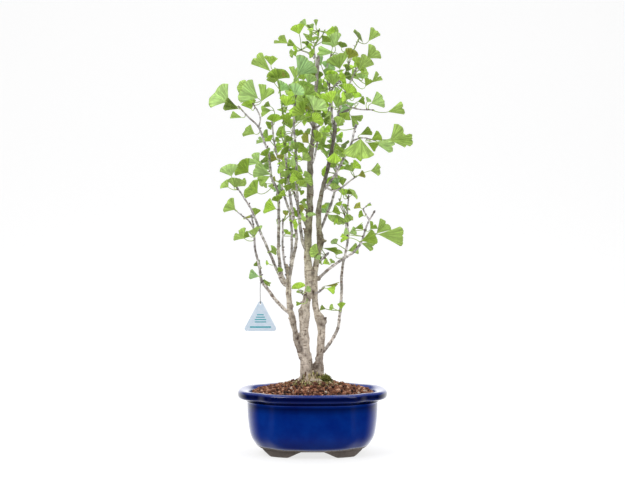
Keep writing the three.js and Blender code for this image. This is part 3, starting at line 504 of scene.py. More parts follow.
def potShell():
    # the profile carried round the plan; the glaze ends in an edge that rises toward the sides by the cosine
    # squared and stands slightly proud of the clay
    profiles = [
        (wallProfile, wallSpacing), (beadProfile, 0.5), (lipProfile, 0.9), (innerProfile, innerSpacing),
    ]
    profile = np.vstack([finely(rows, spacing) for rows, spacing in profiles])
    turn = np.linspace(0, 2 * math.pi, pot["sides"], endpoint=False)[None, :]
    inset = profile[:, :1]
    height = profile[:, 1:]
    index = np.arange(len(profile))
    isWall = index < len(finely(wallProfile, wallSpacing))
    line = np.argmin(np.abs(height[:, 0] - pot["glazeLine"]) + 1000 * ~isWall)
    wave = pot["glazeRise"] * (np.cos(turn) ** 2 - 0.5)
    wave = wave + pot["glazeWave"] * (np.sin(7 * turn + 2) * 0.5 + np.sin(13 * turn) * 0.4)
    near = np.exp(-((height - pot["glazeLine"]) / 6) ** 2) * isWall[:, None]
    near = near * np.clip((height - pot["footHeight"]) / (pot["glazeLine"] - pot["footHeight"]), 0, 1)
    slope = np.gradient(inset[:, 0], height[:, 0] + index * 1e-6)[:, None]
    coat = np.where(isWall & (index > line), pot["glazeThickness"], 0)[:, None]
    isOutside = index < len(profile) - len(finely(innerProfile, innerSpacing))
    creased = np.interp(height[:, 0], pot["creaseFade"], [pot["wallCrease"], 1])
    creased = np.where(isOutside, creased, 1)[:, None]
    around = inset + wave * near * np.clip(slope, -2, 0) - coat
    rings = turnedAround(turn, around, height + wave * near, creased)
    look = np.where(isWall & (index <= line), 1, 0)
    # the painted shade by height, on the outside only; it goes out as the tint's red
    clear = np.where(isOutside, np.interp(height[:, 0], *np.transpose(paintedGlazeShade)), 1)
    thin = np.exp(-((height[:, 0] - height[line, 0]) / 1.3) ** 2) * (isWall & (index > line))
    return closedSurface(rings, look, np.stack([clear, 0.75 * thin, 0 * thin], -1))


def footSurface(signX, signY):
    # a bar along the edge of the base; its underside follows the drawn line, its section is a squared oval
    route = smoothRows([[x, 0, height, 0] for x, height in footUnderside], 1.5)
    x = route[:, :1]
    bottom = np.clip(route[:, 2:3], 0, None)
    around = np.linspace(0, 2 * math.pi, 28, endpoint=False)[None, :]
    inset = wallProfile[0][0]
    base = (pot["halfDepth"] - inset) * (1 - (x / (pot["halfWidth"] - inset)) ** pot["planPower"]) ** 0.4
    outer = base - 2
    inner = np.maximum(outer - pot["footWidth"], pot["footMiddleGap"])
    top = pot["footHeight"] + 2.4
    squared = lambda value: np.sign(value) * np.abs(value) ** pot["footRoundness"]
    height = (top + bottom) / 2 + (top - bottom) / 2 * squared(np.sin(around))
    lean = pot["footLean"] * (height - bottom) / top
    depth = (outer + inner) / 2 + (outer - inner) / 2 * squared(np.cos(around)) + lean * (np.cos(around) > 0)
    rings = np.stack([x + 0 * height, -depth, height], -1) * [signX, -signY, 1]
    if signX * signY > 0:
        rings = rings[:, ::-1]
    return closedSurface(rings, np.ones(len(x), int), np.ones((len(x), 3)))


def cutFrom(piece, cutters):
    # the cutters' space taken out of the piece by live booleans that are then applied
    for cutter in cutters:
        modifier = piece.modifiers.new("cut", "BOOLEAN")
        modifier.object = cutter
        modifier.solver = "EXACT"
    applyModifiers(piece)
    for cutter in cutters:
        bpy.data.objects.remove(cutter)


def applyModifiers(piece):
    # the mesh as its modifiers leave it takes the old one's place
    graph = bpy.context.evaluated_depsgraph_get()
    finished = bpy.data.meshes.new_from_object(piece.evaluated_get(graph))
    piece.modifiers.clear()
    piece.data = finished


def looseObject(name, part, look=0):
    # a helper surface that isn't a piece of its own
    part = dict(part, look=np.full(sum(len(face) for face in part["faces"]), look))
    return addPiece(name, part, [glaze, clay], smooth=False)


def gatherLooks(parts):
    # the parts as one, each face keeping the look that its part gave it
    whole = gather(parts)
    whole["look"] = np.concatenate([part["look"] for part in parts])
    return whole


potPiece = addPiece("pot_glazed", potShell(), [glaze, clay], nodes=["pot"])
drainPath = np.array([[0, 0, pot["footHeight"] - 4], [0, 0, pot["floorTop"] + 4.0]])
holes = []
for index, side in enumerate((-1, 1)):
    path = drainPath + [side * pot["drainOffset"], 0, 0]
    drain = tubeSurface(path, [pot["drainRadius"]] * 2, 40)
    holes.append(looseObject(f"drain_cutter_{index}", drain, look=1))
cutFrom(potPiece, holes)
feet = gatherLooks([footSurface(x, y) for x in (1, -1) for y in (1, -1)])
addPiece("pot_feet", feet, [glaze, clay], nodes=["pot"])
for name in ("drain_mesh_left", "drain_mesh_right"):
    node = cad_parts[name]
    node.data.materials.clear()
    node.data.materials.append(plastic)


print("soil")
soil = {
    "edge": 101, "peak": 124, "inset": 22.8, "spacing": 3.8, "smallest": 1.35, "largest": 3.3,
    "clods": 60, "clodReach": [17, 46], "clodSize": [3.2, 4.6], "jitter": 0.4, "seed": 5,
}
granuleColours = [
    [(138, 90, 66), 0.34], [(104, 64, 48), 0.22], [(172, 120, 92), 0.21], [(58, 36, 30), 0.13],
    [(204, 160, 132), 0.09], [(222, 206, 190), 0.01],
]


def soilHeight(x, y):
    # from the edge to the peak by (1 - share of the way out) to the power 0.8
    wide = pot["halfWidth"] - soil["inset"]
    deep = pot["halfDepth"] - soil["inset"]
    turn = np.arctan2(y / deep, x / wide)
    share = np.hypot(x / wide, y / deep) / planShare(turn)
    rise = np.clip(1 - share, 0, 1) ** 0.8
    return soil["edge"] + (soil["peak"] - soil["edge"]) * rise, share


def lumps(x, y, scale):
    # low bumps: a sum of a few crossed sine waves
    return np.sin(x / scale + 1.3) * np.cos(y / scale * 1.1) + 0.5 * np.sin(x / scale * 2.3 + y / scale * 1.7)


def soilBed():
    # follows the inside of the pot up to the surface, then the mound to its middle
    turn = np.linspace(0, 2 * math.pi, 96, endpoint=False)[None, :]
    side = np.array([[40.6, 23], [31.4, 32.4], [25.4, 60], [22.4, 96]])
    walls = turnedAround(turn, side[:, :1], side[:, 1:])
    share = np.linspace(1, 0.03, 30)[:, None]
    edge = turnedAround(turn, np.array([[soil["inset"]]]), 0)[0]
    flat = edge[None] * share[:, :, None]
    height, _ = soilHeight(flat[..., 0], flat[..., 1])
    height = height - 1.6 + 0.5 * lumps(flat[..., 0], flat[..., 1], 4)
    top = np.dstack([flat[..., 0], flat[..., 1], height])
    # painted shade: the bed is a very dark brown, the shade in the gaps between the granules
    return tinted(closedSurface(np.vstack([walls, top])), linear(30, 18, 14))


def scattered(centres, sizes, colours, generator):
    # lumps of six sides and four rings, each stretched, turned and dented in its own way
    ring = np.radians([-52, -18, 18, 52])[:, None]
    around = np.radians(np.arange(0, 360, 60))[None, :]
    flat = np.cos(ring)
    rings = np.stack([flat * np.cos(around), flat * np.sin(around), np.sin(ring) + 0 * around], -1)
    base = closedSurface(rings)
    base["points"][-2:] = [[0, 0, -0.92], [0, 0, 0.92]]
    count = len(centres)
    shapes = base["points"][None] * generator.uniform(0.78, 1.22, (count, len(base["points"]), 1))
    shapes = shapes * generator.uniform((0.85, 0.75, 0.6), (1.25, 1.0, 0.95), (count, 3))[:, None]
    turns = unit(generator.normal(size=(count, 4)))
    w, x, y, z = turns.T[:, :, None]
    axis = turns[:, None, 1:]
    crossed = np.cross(axis, shapes)
    shapes = shapes + 2 * (w[:, None] * crossed + np.cross(axis, crossed))
    points = (centres[:, None] + shapes * sizes[:, None, None]).reshape(-1, 3)
    starts = (np.arange(count) * len(base["points"]))[:, None, None]
    faces = [(face[None] + starts).reshape(-1, face.shape[1]) for face in base["faces"]]
    return {"points": points, "faces": faces, "tint": np.repeat(colours, len(base["points"]), axis=0)}


def granuleField():
    # a jittered triangular lattice over the mound, and some larger clods near the trunk
    generator = np.random.default_rng(soil["seed"])
    step = soil["spacing"]
    columns, rows = np.meshgrid(np.arange(-30, 31), np.arange(-28, 29))
    x = (columns + 0.5 * (rows % 2)).ravel() * step
    y = rows.ravel() * step * 0.866
    x = x + generator.uniform(-soil["jitter"], soil["jitter"], len(x)) * step
    y = y + generator.uniform(-soil["jitter"], soil["jitter"], len(y)) * step
    size = generator.uniform(soil["smallest"], soil["largest"], len(x))
    size = size * generator.choice([0.8, 1, 1.15], len(x))
    turn = generator.uniform(0, 2 * math.pi, soil["clods"])
    reach = generator.uniform(*soil["clodReach"], soil["clods"])
    x = np.concatenate([x, reach * np.cos(turn)])
    y = np.concatenate([y, reach * 0.8 * np.sin(turn)])
    size = np.concatenate([size, generator.uniform(*soil["clodSize"], soil["clods"])])
    height, share = soilHeight(x, y)
    outOfWood = (np.hypot(x + 10, y) > 12) & (np.hypot(x - 10, y - 2) > 8)
    kept = (share < 0.985) & outOfWood
    lift = generator.uniform(-0.7, 0.5, len(x)) * size
    height = height + lift + 0.6 * lumps(x, y, 7)
    colours = np.array([linear(*colour) for colour, _ in granuleColours])
    odds = np.array([share for _, share in granuleColours])
    picks = generator.choice(len(colours), len(x), p=odds / odds.sum())
    shades = generator.uniform(0.75, 1.25, (len(x), 1))
    shades = shades * (1 - 0.6 * np.exp(-(share / 0.34) ** 2))[:, None]
    centres = np.stack([x, y, height], -1)[kept]
    return scattered(centres, size[kept], (colours[picks] * shades)[kept], generator)


addPiece("soil_bed", soilBed(), [granule], nodes=["soil"])
addPiece("soil_granules", granuleField(), [granule], smooth=False, nodes=["soil"])


# The growth: every row is [x, y, z, radius] along the wood, in mm.
trunks = {
  "central": [
    [-4, 0, 92, 13], [-9, 0, 112, 12], [-10, 0, 126, 10.6], [-11, 0, 156, 9], [-13, 0, 181, 8],
    [-14, 0, 206, 7.6], [-14, 0, 224, 8.6], [-14, 0, 234, 9.4], [-12, 0, 250, 7.4], [-7, 0, 273, 6.3],
    [-7, 0, 307, 6.3], [-8, 0, 341, 6.2], [-7, 0, 374, 6], [-5, 0, 408, 5.8], [-4, 0, 441, 5.4],
    [-4, 0, 475, 5], [-2, 0, 509, 4.4], [3, 0, 539, 4.8], [1, 0, 567, 3.6], [2, 0, 593, 3.3],
    [6, 0, 613, 3.1], [8, 0, 640, 3], [10, 0, 663, 2.8],
  ],
  "right": [
    [4, 2, 94, 9], [10, 2, 116, 8], [12, 2, 132, 6.8], [12, 2, 156, 6.4], [14, 2, 181, 6.2],
    [15, 3, 206, 6.6], [13, 3, 223, 8.2], [7, 3, 236, 5.6], [4, 3, 257, 4.9], [4, 2, 282, 4.7],
    [5, 1, 307, 4.6], [9, 0, 332, 4.8], [13, 0, 352, 6], [11, 0, 374, 4.7], [10, 0, 404, 4.4],
    [14, 0, 430, 3.8], [21, 0, 458, 3.3], [27, 0, 483, 3.4], [33, 0, 512, 3.3], [37, 0, 539, 3.2],
    [40, 0, 559, 3.8], [51, 0, 571, 2.4], [65, 0, 578, 1.7],
  ],
  "left": [
    [-13, 0, 152, 5.4], [-19, 0, 165, 5.4], [-25, 0, 184, 5.1], [-30, 0, 206, 4.9], [-34, 0, 226, 5.2],
    [-39, 0, 248, 4.7], [-40, 0, 270, 4.5], [-41, 0, 292, 3.6],
  ],
}

# Leafy stems, each with its twigs. A leaf row is [x, z, direction, length] of its blade in the front
# view, in mm and degrees, then, where it matters, its roll and half spread.
sprays = {
  "low_left_spray": {
    "stem": [
      [-40, 0, 236, 2.9], [-50, -2, 244, 2.8], [-65, -6, 261, 2.7], [-77, -10, 278, 2.5],
      [-84, -12, 287, 2.4], [-87, -15, 298, 2.3], [-88, -18, 310, 2.1], [-95, -26, 342, 1.8],
      [-97, -34, 374, 1.6], [-100, -40, 394, 1.3],
    ],
    "twigs": [
      [[-97, -35, 376, 1.3], [-105, -37, 389, 1.2], [-114, -39, 396, 1.1], [-126, -43, 406, 0.9]],
    ],
    "leaves": [
      [-103, 363, 152, 11, 20, 36], [-98, 362, 100, 15, 15, 30], [-114, 360, 140, 18, 10, 48],
      [-95, 364, 78, 17, 50, 34], [-87, 313, 140, 12, 15, 34], [-88, 297, 165, 18, 15, 26],
      [-126, 407, 142, 21, 10, 38], [-100, 395, 168, 15, 68], [-95, 398, 82, 14, 10, 32],
      [-71, 286, 190, 13],
    ],
  },
  "left_front_spray": {
    "stem": [
      [-40, 0, 278, 2.6], [-50, -2, 286, 2.6], [-58, -8, 304, 2.4], [-66, -14, 323, 2.3],
      [-76, -22, 347, 2.1], [-87, -32, 372, 1.9], [-98, -44, 402, 1.7], [-109, -53, 422, 1.5],
      [-121, -62, 440, 1.2],
    ],
    "leaves": [
      [-127, 443, 66, 21, 15, 42], [-138, 444, 140, 14, 10, 42], [-133, 462, 110, 22, 10, 42],
      [-71, 338, 8, 13, 15, 24], [-68, 340, 40, 9], [-73, 317, 150, 8], [-58, 304, 40, 10],
      [-122, 448, 32, 16, 55, 30], [-87, 373, 120, 11, 30, 36],
    ],
  },
  "left_tall_spray": {
    "stem": [
      [-40, 0, 282, 2.7], [-51, 1, 297, 2.7], [-57, 5, 334, 2.6], [-57, 9, 374, 2.5], [-57, 12, 401, 2.4],
      [-59, 17, 439, 2.2], [-70, 20, 466, 2.1], [-74, 25, 502, 1.9], [-83, 28, 527, 1.8],
      [-92, 32, 550, 1.6], [-107, 35, 565, 1.5], [-124, 38, 583, 1.2],
    ],
    "twigs": [
      [
        [-92, 32, 550, 1.4], [-89, 33, 566, 1.3], [-95, 35, 580, 1.2], [-102, 38, 590, 1.0],
        [-105, 41, 601, 0.9],
      ],
    ],
    "leaves": [
      [-144, 595, 148, 35, 10, 44], [-125, 580, 162, 27, 20, 24], [-121, 568, 168, 21, 30, 20],
      [-100, 592, 165, 17, 22, 33], [-105, 582, 118, 19, 20, 42], [-110, 615, 150, 19, 30, 46],
      [-92, 597, 152, 34, 10, 37], [-88, 595, 68, 32, 15, 26], [-99, 539, 154, 22, 15, 31],
      [-83, 525, 155, 15, 10, 26], [-91, 488, 140, 22, 12, 41], [-108, 471, 138, 25, 10, 44],
      [-71, 468, 158, 30, 10, 27], [-76, 492, 165, 16, 30, 26], [-75, 478, 130, 17, 20, 38],
      [-76, 497, 120, 14, 10, 34], [-76, 499, 95, 15, 60, 40], [-72, 466, 203, 24, 12, 24],
      [-94, 438, 149, 28, 8, 43], [-62, 410, 163, 22, 10, 36],
    ],
  },
  "left_short_spray": {
    "stem": [[-40, 0, 284, 2.1], [-45, 3, 309, 1.9], [-50, 7, 341, 1.7], [-50, 14, 388, 1.3]],
    "leaves": [
      [-45, 398, 80, 8], [-53, 390, 195, 9, 15, 40], [-39, 364, 2, 13, 20, 20],
    ],
  },
  "centre_left_spray": {
    "stem": [
      [-40, 0, 280, 2.8], [-36, -2, 310, 2.7], [-28, -6, 349, 2.5], [-27, -7, 366, 2.4],
      [-34, -12, 408, 2.3], [-41, -18, 457, 2.2], [-45, -23, 496, 2.0], [-45, -25, 515, 1.6],
      [-49, -32, 564, 1.4], [-54, -37, 605, 1.3], [-61, -42, 637, 1.0],
    ],
    "twigs": [
      [[-44, -24, 504, 1.1], [-47, -26, 515, 1.0], [-54, -32, 537, 0.9]],
    ],
    "leaves": [
      [-69, 634, 136, 35, 10, 20], [-69, 647, 91, 21, 12, 30], [-57, 621, 85, 21, 10, 72],
      [-55, 604, 60, 19, 10, 38], [-44, 577, 72, 18, 10, 46], [-44, 568, 130, 16, 30, 34],
      [-41, 550, 100, 18, 12, 34], [-49, 479, 20, 13, 70], [-44, 476, 160, 12],
      [-50, 449, 105, 11, 15, 35], [-44, 438, 60, 13], [-34, 441, 60, 13],
    ],
  },
  "left_back_spray": {
    "stem": [
      [-40, 0, 285, 2.1], [-35, 11, 345, 2.1], [-38, 25, 400, 2.0], [-51, 36, 442, 1.9],
      [-56, 48, 486, 1.8], [-65, 57, 519, 1.6], [-70, 68, 557, 1.3],
    ],
    "leaves": [
      [-72, 584, 188, 21, 15, 27], [-73, 590, 150, 13, 20, 30], [-66, 560, 88, 16, 10, 52],
      [-70, 563, 218, 14, 15, 36], [-67, 456, 245, 13, 20, 30], [-56, 530, 170, 10],
      [-60, 495, 160, 13, 20, 36], [-50, 436, 165, 13, 15, 40], [-46, 525, 50, 14],
      [-42, 464, 30, 13],
    ],
  },
  "centre_spray": {
    "stem": [
      [-8, 0, 335, 2.6], [-17, -2, 356, 2.5], [-22, -6, 394, 2.4], [-26, -12, 438, 2.2],
      [-27, -21, 494, 2.0], [-31, -29, 547, 1.7], [-30, -34, 575, 1.5], [-27, -38, 597, 1.2],
    ],
    "leaves": [
      [-29, 623, 88, 25, 25, 24], [-25, 628, 48, 34, 10, 36], [-32, 582, 130, 21],
      [-29, 592, 60, 20], [-19, 585, 100, 22], [-12, 595, 40, 19], [-31, 500, 262, 21, 10, 16],
      [-29, 491, 60, 15, 15, 40], [-7, 506, 165, 19, 10, 25], [-17, 489, 30, 15],
      [-23, 457, 165, 15, 15, 34], [-26, 463, 60, 13], [-16, 464, 20, 12],
      [-19, 446, 90, 11, 10, 45], [-18, 402, 85, 15, 10, 20], [-24, 383, 180, 12, 10, 45],
      [-19, 391, 50, 12], [-6, 396, 60, 12],
    ],
  },
  "centre_front_spray": {
    "stem": [
      [-4, 0, 478, 1.8], [4, -10, 499, 1.7], [8, -27, 528, 1.5], [4, -45, 556, 1.4], [-2, -66, 583, 1.2],
    ],
    "leaves": [
      [-14, 561, 120, 23], [-7, 570, 80, 23], [2, 567, 60, 24], [14, 570, 90, 23],
      [-1, 552, 30, 19], [9, 555, 150, 19], [17, 556, 30, 19], [-11, 579, 150, 20],
      [-6, 517, 130, 19], [4, 520, 50, 18],
    ],
  },
  "centre_back_spray": {
    "stem": [
      [0, 0, 541, 1.8], [13, 6, 552, 1.7], [24, 16, 568, 1.5], [30, 30, 593, 1.4], [29, 48, 624, 1.1],
    ],
    "leaves": [
      [15, 615, 45, 19], [8, 629, 100, 18], [21, 632, 60, 18], [15, 656, 110, 18],
      [32, 605, 20, 19], [25, 650, 70, 17], [20, 592, 140, 19],
    ],
  },
  "centre_shoot_spray": {
    "stem": [[2, 0, 543, 1.6], [-7, 8, 563, 1.4], [-12, 11, 591, 1.2], [-14, 13, 615, 1.0]],
    "leaves": [
      [-21, 618, 140, 18], [-8, 618, 60, 18], [-3, 605, 20, 17], [-19, 597, 170, 16],
      [-6, 574, 160, 16],
    ],
  },
  "top_spray": {
    "stem": [[8, 0, 640, 2.0], [5, 3, 662, 1.8], [2, 6, 681, 1.6], [8, 9, 693, 1.4], [11, 12, 711, 1.0]],
    "twigs": [
      [[3, 3, 664, 1.2], [-9, 7, 673, 1.1], [-19, 11, 678, 0.9]],
      [[7, 8, 691, 1.1], [16, 13, 702, 1.0], [20, 16, 711, 0.8]],
    ],
    "leaves": [
      [-27, 683, 150, 17, 30, 24], [-42, 692, 155, 24, 40, 34], [-22, 702, 104, 18, 10, 40],
      [-10, 717, 128, 13, 15, 30], [-3, 712, 98, 14, 10, 26], [-7, 689, 140, 12, 50, 40],
      [6, 716, 82, 13, 62, 30], [1, 713, 110, 9, 30, 30], [-4, 694, 88, 11, 60, 30],
      [9, 702, 85, 10, 60, 30],
    ],
  },
  "rear_left_spray": {
    "stem": [
      [-6, 0, 372, 2.3], [-20, 12, 404, 2.2], [-32, 28, 441, 2.1], [-41, 48, 483, 1.9],
      [-39, 68, 525, 1.6], [-31, 88, 563, 1.3],
    ],
    "leaves": [
      [-49, 474, 150, 13, 15, 40], [-40, 481, 60, 15, 15, 40], [-35, 513, 110, 19],
      [-46, 520, 130, 14], [-27, 537, 70, 14], [-38, 553, 100, 20, 12, 40], [-27, 564, 70, 18],
      [-45, 547, 190, 16, 15, 30], [-33, 443, 30, 13], [-45, 432, 160, 13],
    ],
  },
  "rear_right_spray": {
    "stem": [
      [11, 0, 368, 2.3], [22, 11, 396, 2.2], [34, 27, 426, 2.1], [41, 46, 462, 1.9], [39, 70, 505, 1.6],
      [33, 92, 543, 1.3],
    ],
    "leaves": [
      [33, 443, 40, 16], [40, 453, 120, 18], [30, 475, 150, 14], [46, 478, 50, 12],
      [37, 500, 100, 16], [15, 514, 95, 15, 10, 42], [42, 528, 50, 11], [31, 547, 125, 14],
      [40, 554, 50, 15, 12, 30], [48, 496, 20, 12], [25, 536, 190, 12], [26, 403, 112, 19],
    ],
  },
  "right_front_spray": {
    "stem": [
      [17, 0, 440, 2.3], [26, -3, 450, 2.3], [39, -12, 469, 2.1], [54, -25, 497, 1.9],
      [63, -34, 514, 1.8], [70, -48, 541, 1.6],
    ],
    "twigs": [
      [
        [22, -2, 446, 1.7], [36, -4, 440, 1.6], [50, -6, 446, 1.5], [61, -8, 455, 1.3],
        [71, -10, 462, 1.1],
      ],
      [[65, -38, 521, 1.4], [82, -41, 526, 1.2], [100, -46, 522, 1.0]],
    ],
    "leaves": [
      [42, 545, 80, 15], [128, 521, 357, 43, 10, 12], [37, 503, 265, 21, 10, 34],
      [35, 504, 40, 20, 12, 30], [59, 505, 165, 18, 12, 18], [79, 524, 258, 37, 12, 40],
      [96, 521, 28, 18, 10, 28], [90, 519, 335, 20, 12, 22], [102, 522, 350, 40, 10, 17],
      [128, 522, 27, 31, 10, 40], [78, 530, 24, 20, 35, 24], [66, 477, 35, 15, 12, 36],
      [98, 474, 10, 22, 10, 27], [76, 464, 18, 12, 20, 32], [56, 482, 100, 12, 60],
    ],
  },
  "right_back_spray": {
    "stem": [
      [16, 0, 168, 2.8], [24, 1, 177, 2.8], [41, 7, 204, 2.6], [46, 12, 230, 2.5], [49, 18, 261, 2.4],
      [50, 27, 303, 2.3], [56, 35, 334, 2.0], [61, 41, 361, 1.9], [60, 50, 399, 1.6], [62, 58, 430, 1.2],
    ],
    "twigs": [
      [[59, 40, 356, 1.4], [57, 43, 386, 1.3], [54, 45, 406, 1.2], [47, 48, 425, 1.0]],
    ],
    "leaves": [
      [48, 241, 90, 15, 10, 25], [36, 242, 150, 9], [23, 240, 165, 11, 10, 25],
      [54, 434, 88, 14, 10, 42], [44, 450, 140, 17], [52, 450, 95, 14, 40, 36],
      [58, 436, 30, 10, 20, 30], [43, 401, 262, 21, 14, 56], [58, 403, 288, 16, 16, 34],
      [40, 332, 72, 12, 15, 45], [61, 339, 16, 19, 10, 28], [62, 392, 40, 11, 20, 34],
    ],
  },
  "right_low_spray": {
    "stem": [
      [5, 0, 290, 2.4], [13, -2, 296, 2.4], [30, -10, 311, 2.3], [51, -20, 326, 2.1], [69, -29, 338, 2.0],
      [82, -39, 357, 1.8], [88, -50, 379, 1.6], [99, -62, 401, 1.3],
    ],
    "twigs": [
      [[81, -38, 355, 1.5], [91, -42, 364, 1.2], [101, -45, 367, 1.0]],
      [[93, -56, 390, 1.4], [87, -59, 400, 1.2], [83, -62, 408, 1.0], [92, -67, 416, 0.8]],
    ],
    "leaves": [
      [80, 356, 18, 27, 10, 25], [81, 352, 346, 27, 10, 18], [106, 368, 48, 26, 10, 27],
      [107, 367, 355, 46, 10, 18], [96, 375, 52, 15, 12, 34], [60, 369, 160, 10, 20, 40],
      [62, 370, 20, 12, 20, 40], [69, 376, 35, 17, 60, 30], [61, 361, 180, 17, 12, 24],
      [79, 410, 142, 12, 10, 34], [83, 397, 155, 11, 15, 34], [88, 412, 40, 8, 50, 30],
    ],
  },
  "upper_right_back_spray": {
    "stem": [
      [37, 0, 540, 2.2], [33, 5, 562, 2.1], [32, 13, 591, 2.0], [33, 19, 612, 1.9], [43, 24, 625, 1.8],
      [54, 29, 636, 1.7], [61, 35, 655, 1.5], [69, 44, 679, 1.3], [78, 52, 700, 1.0],
    ],
    "twigs": [
      [[33, 16, 602, 1.3], [24, 19, 632, 1.2], [25, 21, 651, 1.1], [31, 24, 671, 1.0]],
    ],
    "leaves": [
      [46, 646, 104, 28, 8, 40], [50, 688, 80, 12, 15, 50], [60, 665, 58, 20, 12, 36],
      [80, 706, 85, 18, 55, 74], [97, 702, 55, 26, 12, 22], [62, 648, 92, 14, 20, 50],
      [70, 650, 40, 12, 40, 36], [31, 630, 80, 14, 20, 50], [35, 617, 90, 21, 8, 42],
      [55, 612, 95, 15, 20, 40], [62, 612, 70, 11, 50, 36], [43, 636, 150, 14],
      [38, 683, 112, 24, 8, 46], [38, 680, 172, 31, 10, 17],
    ],
  },
  "upper_right_front_spray": {
    "stem": [
      [38, 0, 548, 2.0], [42, -5, 566, 1.9], [50, -13, 589, 1.8], [56, -21, 608, 1.7],
      [65, -29, 624, 1.5], [73, -37, 640, 1.3], [82, -46, 657, 1.0],
    ],
    "twigs": [
      [[50, -12, 587, 1.3], [66, -15, 578, 1.2], [81, -17, 575, 1.1], [99, -20, 574, 0.9]],
    ],
    "leaves": [
      [90, 657, 44, 25, 10, 34], [75, 635, 49, 28, 10, 25], [64, 628, 40, 17, 15, 36],
      [83, 625, 92, 12, 15, 58], [87, 610, 62, 15, 12, 27], [98, 619, 42, 21, 12, 23],
      [31, 582, 108, 21, 12, 44], [39, 578, 66, 20, 15, 40], [72, 588, 194, 36, 10, 24],
      [76, 590, 20, 14, 20, 30], [91, 588, 60, 9, 20, 40], [97, 583, 22, 24, 8, 33],
      [124, 569, 12, 28, 12, 21], [64, 566, 322, 21, 10, 34], [60, 570, 235, 17, 15, 38],
      [57, 600, 60, 17, 12, 50], [70, 596, 75, 15, 15, 48],
    ],
  },
  "left_rosette": {
    "stem": [[-8, 0, 260, 2.0], [-15, -4, 265, 1.8], [-18, -7, 269, 1.5]],
    "leaves": [
      [-17, 252, 178, 11, 10, 18], [-18, 267, 130, 10], [-11, 272, 40, 10],
      [-23, 276, 97, 13, 10, 62],
    ],
  },
  "right_low_rosette": {
    "stem": [[4, 0, 268, 2.0], [12, -3, 271, 1.8], [16, -6, 275, 1.5]],
    "leaves": [
      [21, 280, 10, 25, 60, 14], [23, 277, 348, 16, 10, 24],
    ],
  },
  "right_mid_rosette": {
    "stem": [[8, 0, 322, 2.0], [17, -6, 326, 1.8], [23, -10, 332, 1.5]],
    "leaves": [
      [12, 324, 120, 9, 10, 36], [17, 317, 35, 13, 10, 32], [31, 318, 60, 9, 10, 36],
      [18, 344, 355, 25, 50, 16],
    ],
  },
}

print("trunks")
trunk = {
    "voxel": 1.1, "spacing": 4, "sides": 20, "rootSides": 12, "smoothing": 3, "ridge": 0.28, "lump": 0.5,
}
woodColours = [
    [100, (174, 158, 140)], [150, (212, 200, 186)], [300, (210, 200, 182)], [345, (176, 172, 142)],
    [420, (160, 158, 136)], [520, (156, 150, 144)], [700, (168, 162, 158)],
]
# the right trunk is darker in the crown
crownShade = {"from": 380, "over": 60, "right": 10, "width": 8, "share": 0.42}
twigColour = linear(200, 196, 196)
darkBark = linear(66, 50, 40)
# [x, y, z, radius, reach of the dark bark round it]
knots = [
    [-19, -3, 238, 5.6, 7], [-9, -4, 371, 6.2, 9], [-5, -4, 407, 5.2, 8], [14, -3, 356, 6.6, 11],
    [17, -1, 221, 7.6, 9], [-28, -3, 197, 4.6, 8], [-20, -4, 176, 3.6, 7], [5, -2, 147, 4.8, 9],
    [10, -4, 293, 4.4, 7], [-41, -1, 309, 4.2, 7], [3, -1, 541, 5.2, 8], [40, -1, 560, 4.4, 8],
    [3, -1, 126, 5.6, 9], [3, -1, 137, 5, 8], [8, -1, 150, 5.4, 9], [9, -1, 158, 4.6, 8],
    [1, 0, 142, 4.6, 8], [-8, -5, 262, 3.2, 5], [10, -2, 133, 5, 8], [-36, -1, 246, 4.4, 6],
    [-3, -3, 470, 4.6, 7], [24, -2, 470, 3.4, 6], [12, -3, 406, 4.2, 7],
]
# the flare at the foot, then short dead stubs: [start, end, radius]
stubs = [
    [[-4, -1, 112], [-6, -1, 168], 5.2], [[-12, -3, 136], [-30, -8, 110], 3.8],
    [[-7, -6, 134], [-13, -24, 110], 3.4], [[14, -4, 132], [31, -12, 110], 3.4],
    [[4, -6, 130], [9, -25, 110], 3], [[14, 5, 132], [26, 20, 110], 3.4],
    [[-10, 5, 132], [-22, 22, 110], 3.6],
    [[-41, 0, 292], [-43, -3, 318], 2.4], [[-8, -3, 371], [-16, -10, 377], 2.2],
    [[14, 0, 352], [23, -8, 357], 2.3], [[-11, 0, 407], [-18, -6, 413], 1.6],
    [[-34, 0, 222], [-41, -5, 227], 1.5], [[16, 2, 222], [24, -3, 228], 1.9],
    [[3, 0, 541], [9, -7, 548], 1.6], [[-12, 0, 250], [-21, -5, 254], 1.7],
    [[10, 0, 663], [10, -1, 668], 2.2],
]
# how dark a knot is, how deep the painted shade in a crease is, and how much of that the patches let through
shading = {"knot": 0.85, "crease": 1.3, "least": 0.35, "patches": 0.5}
# painted shade in the creases where stems part: [x, y, z, reach]
creases = [
    [-33, -5, 226, 3.6], [-31, -5, 218, 3.8], [-28, -5, 210, 3.6], [-26, -5, 202, 3.8], [-24, -5, 194, 3.8],
    [-21, -5, 186, 3.6], [-19, -5, 178, 3.2], [4, -4, 168, 3.4], [4, -4, 160, 3.6], [3, -5, 150, 4.2],
    [2, -5, 256, 3], [1, -4, 270, 3], [0, -4, 286, 3], [1, -4, 302, 3], [2, -4, 318, 3], [3, -4, 334, 3.4],
]
# painted shade, the darkest places, low between the trunks: [x, y, z, reach]
hollowShadows = [
    [3, -5, 156, 4], [3, -7, 150, 5], [3, -8, 142, 5], [4, -9, 134, 5], [8, -8, 130, 6], [18, -4, 352, 7],
    [-5, -6, 372, 6], [21, -5, 226, 5], [-14, -8, 128, 5],
]


def ball(centre, radius, sides=12):
    # a sphere from a straight path whose radius follows the cosine
    tilt = np.linspace(-math.pi / 2, math.pi / 2, 9)
    path = np.array(centre, float) + np.outer(np.sin(tilt) * radius, [0, 0, 1])
    return tubeSurface(path, np.maximum(np.cos(tilt) * radius, 0.02), sides)


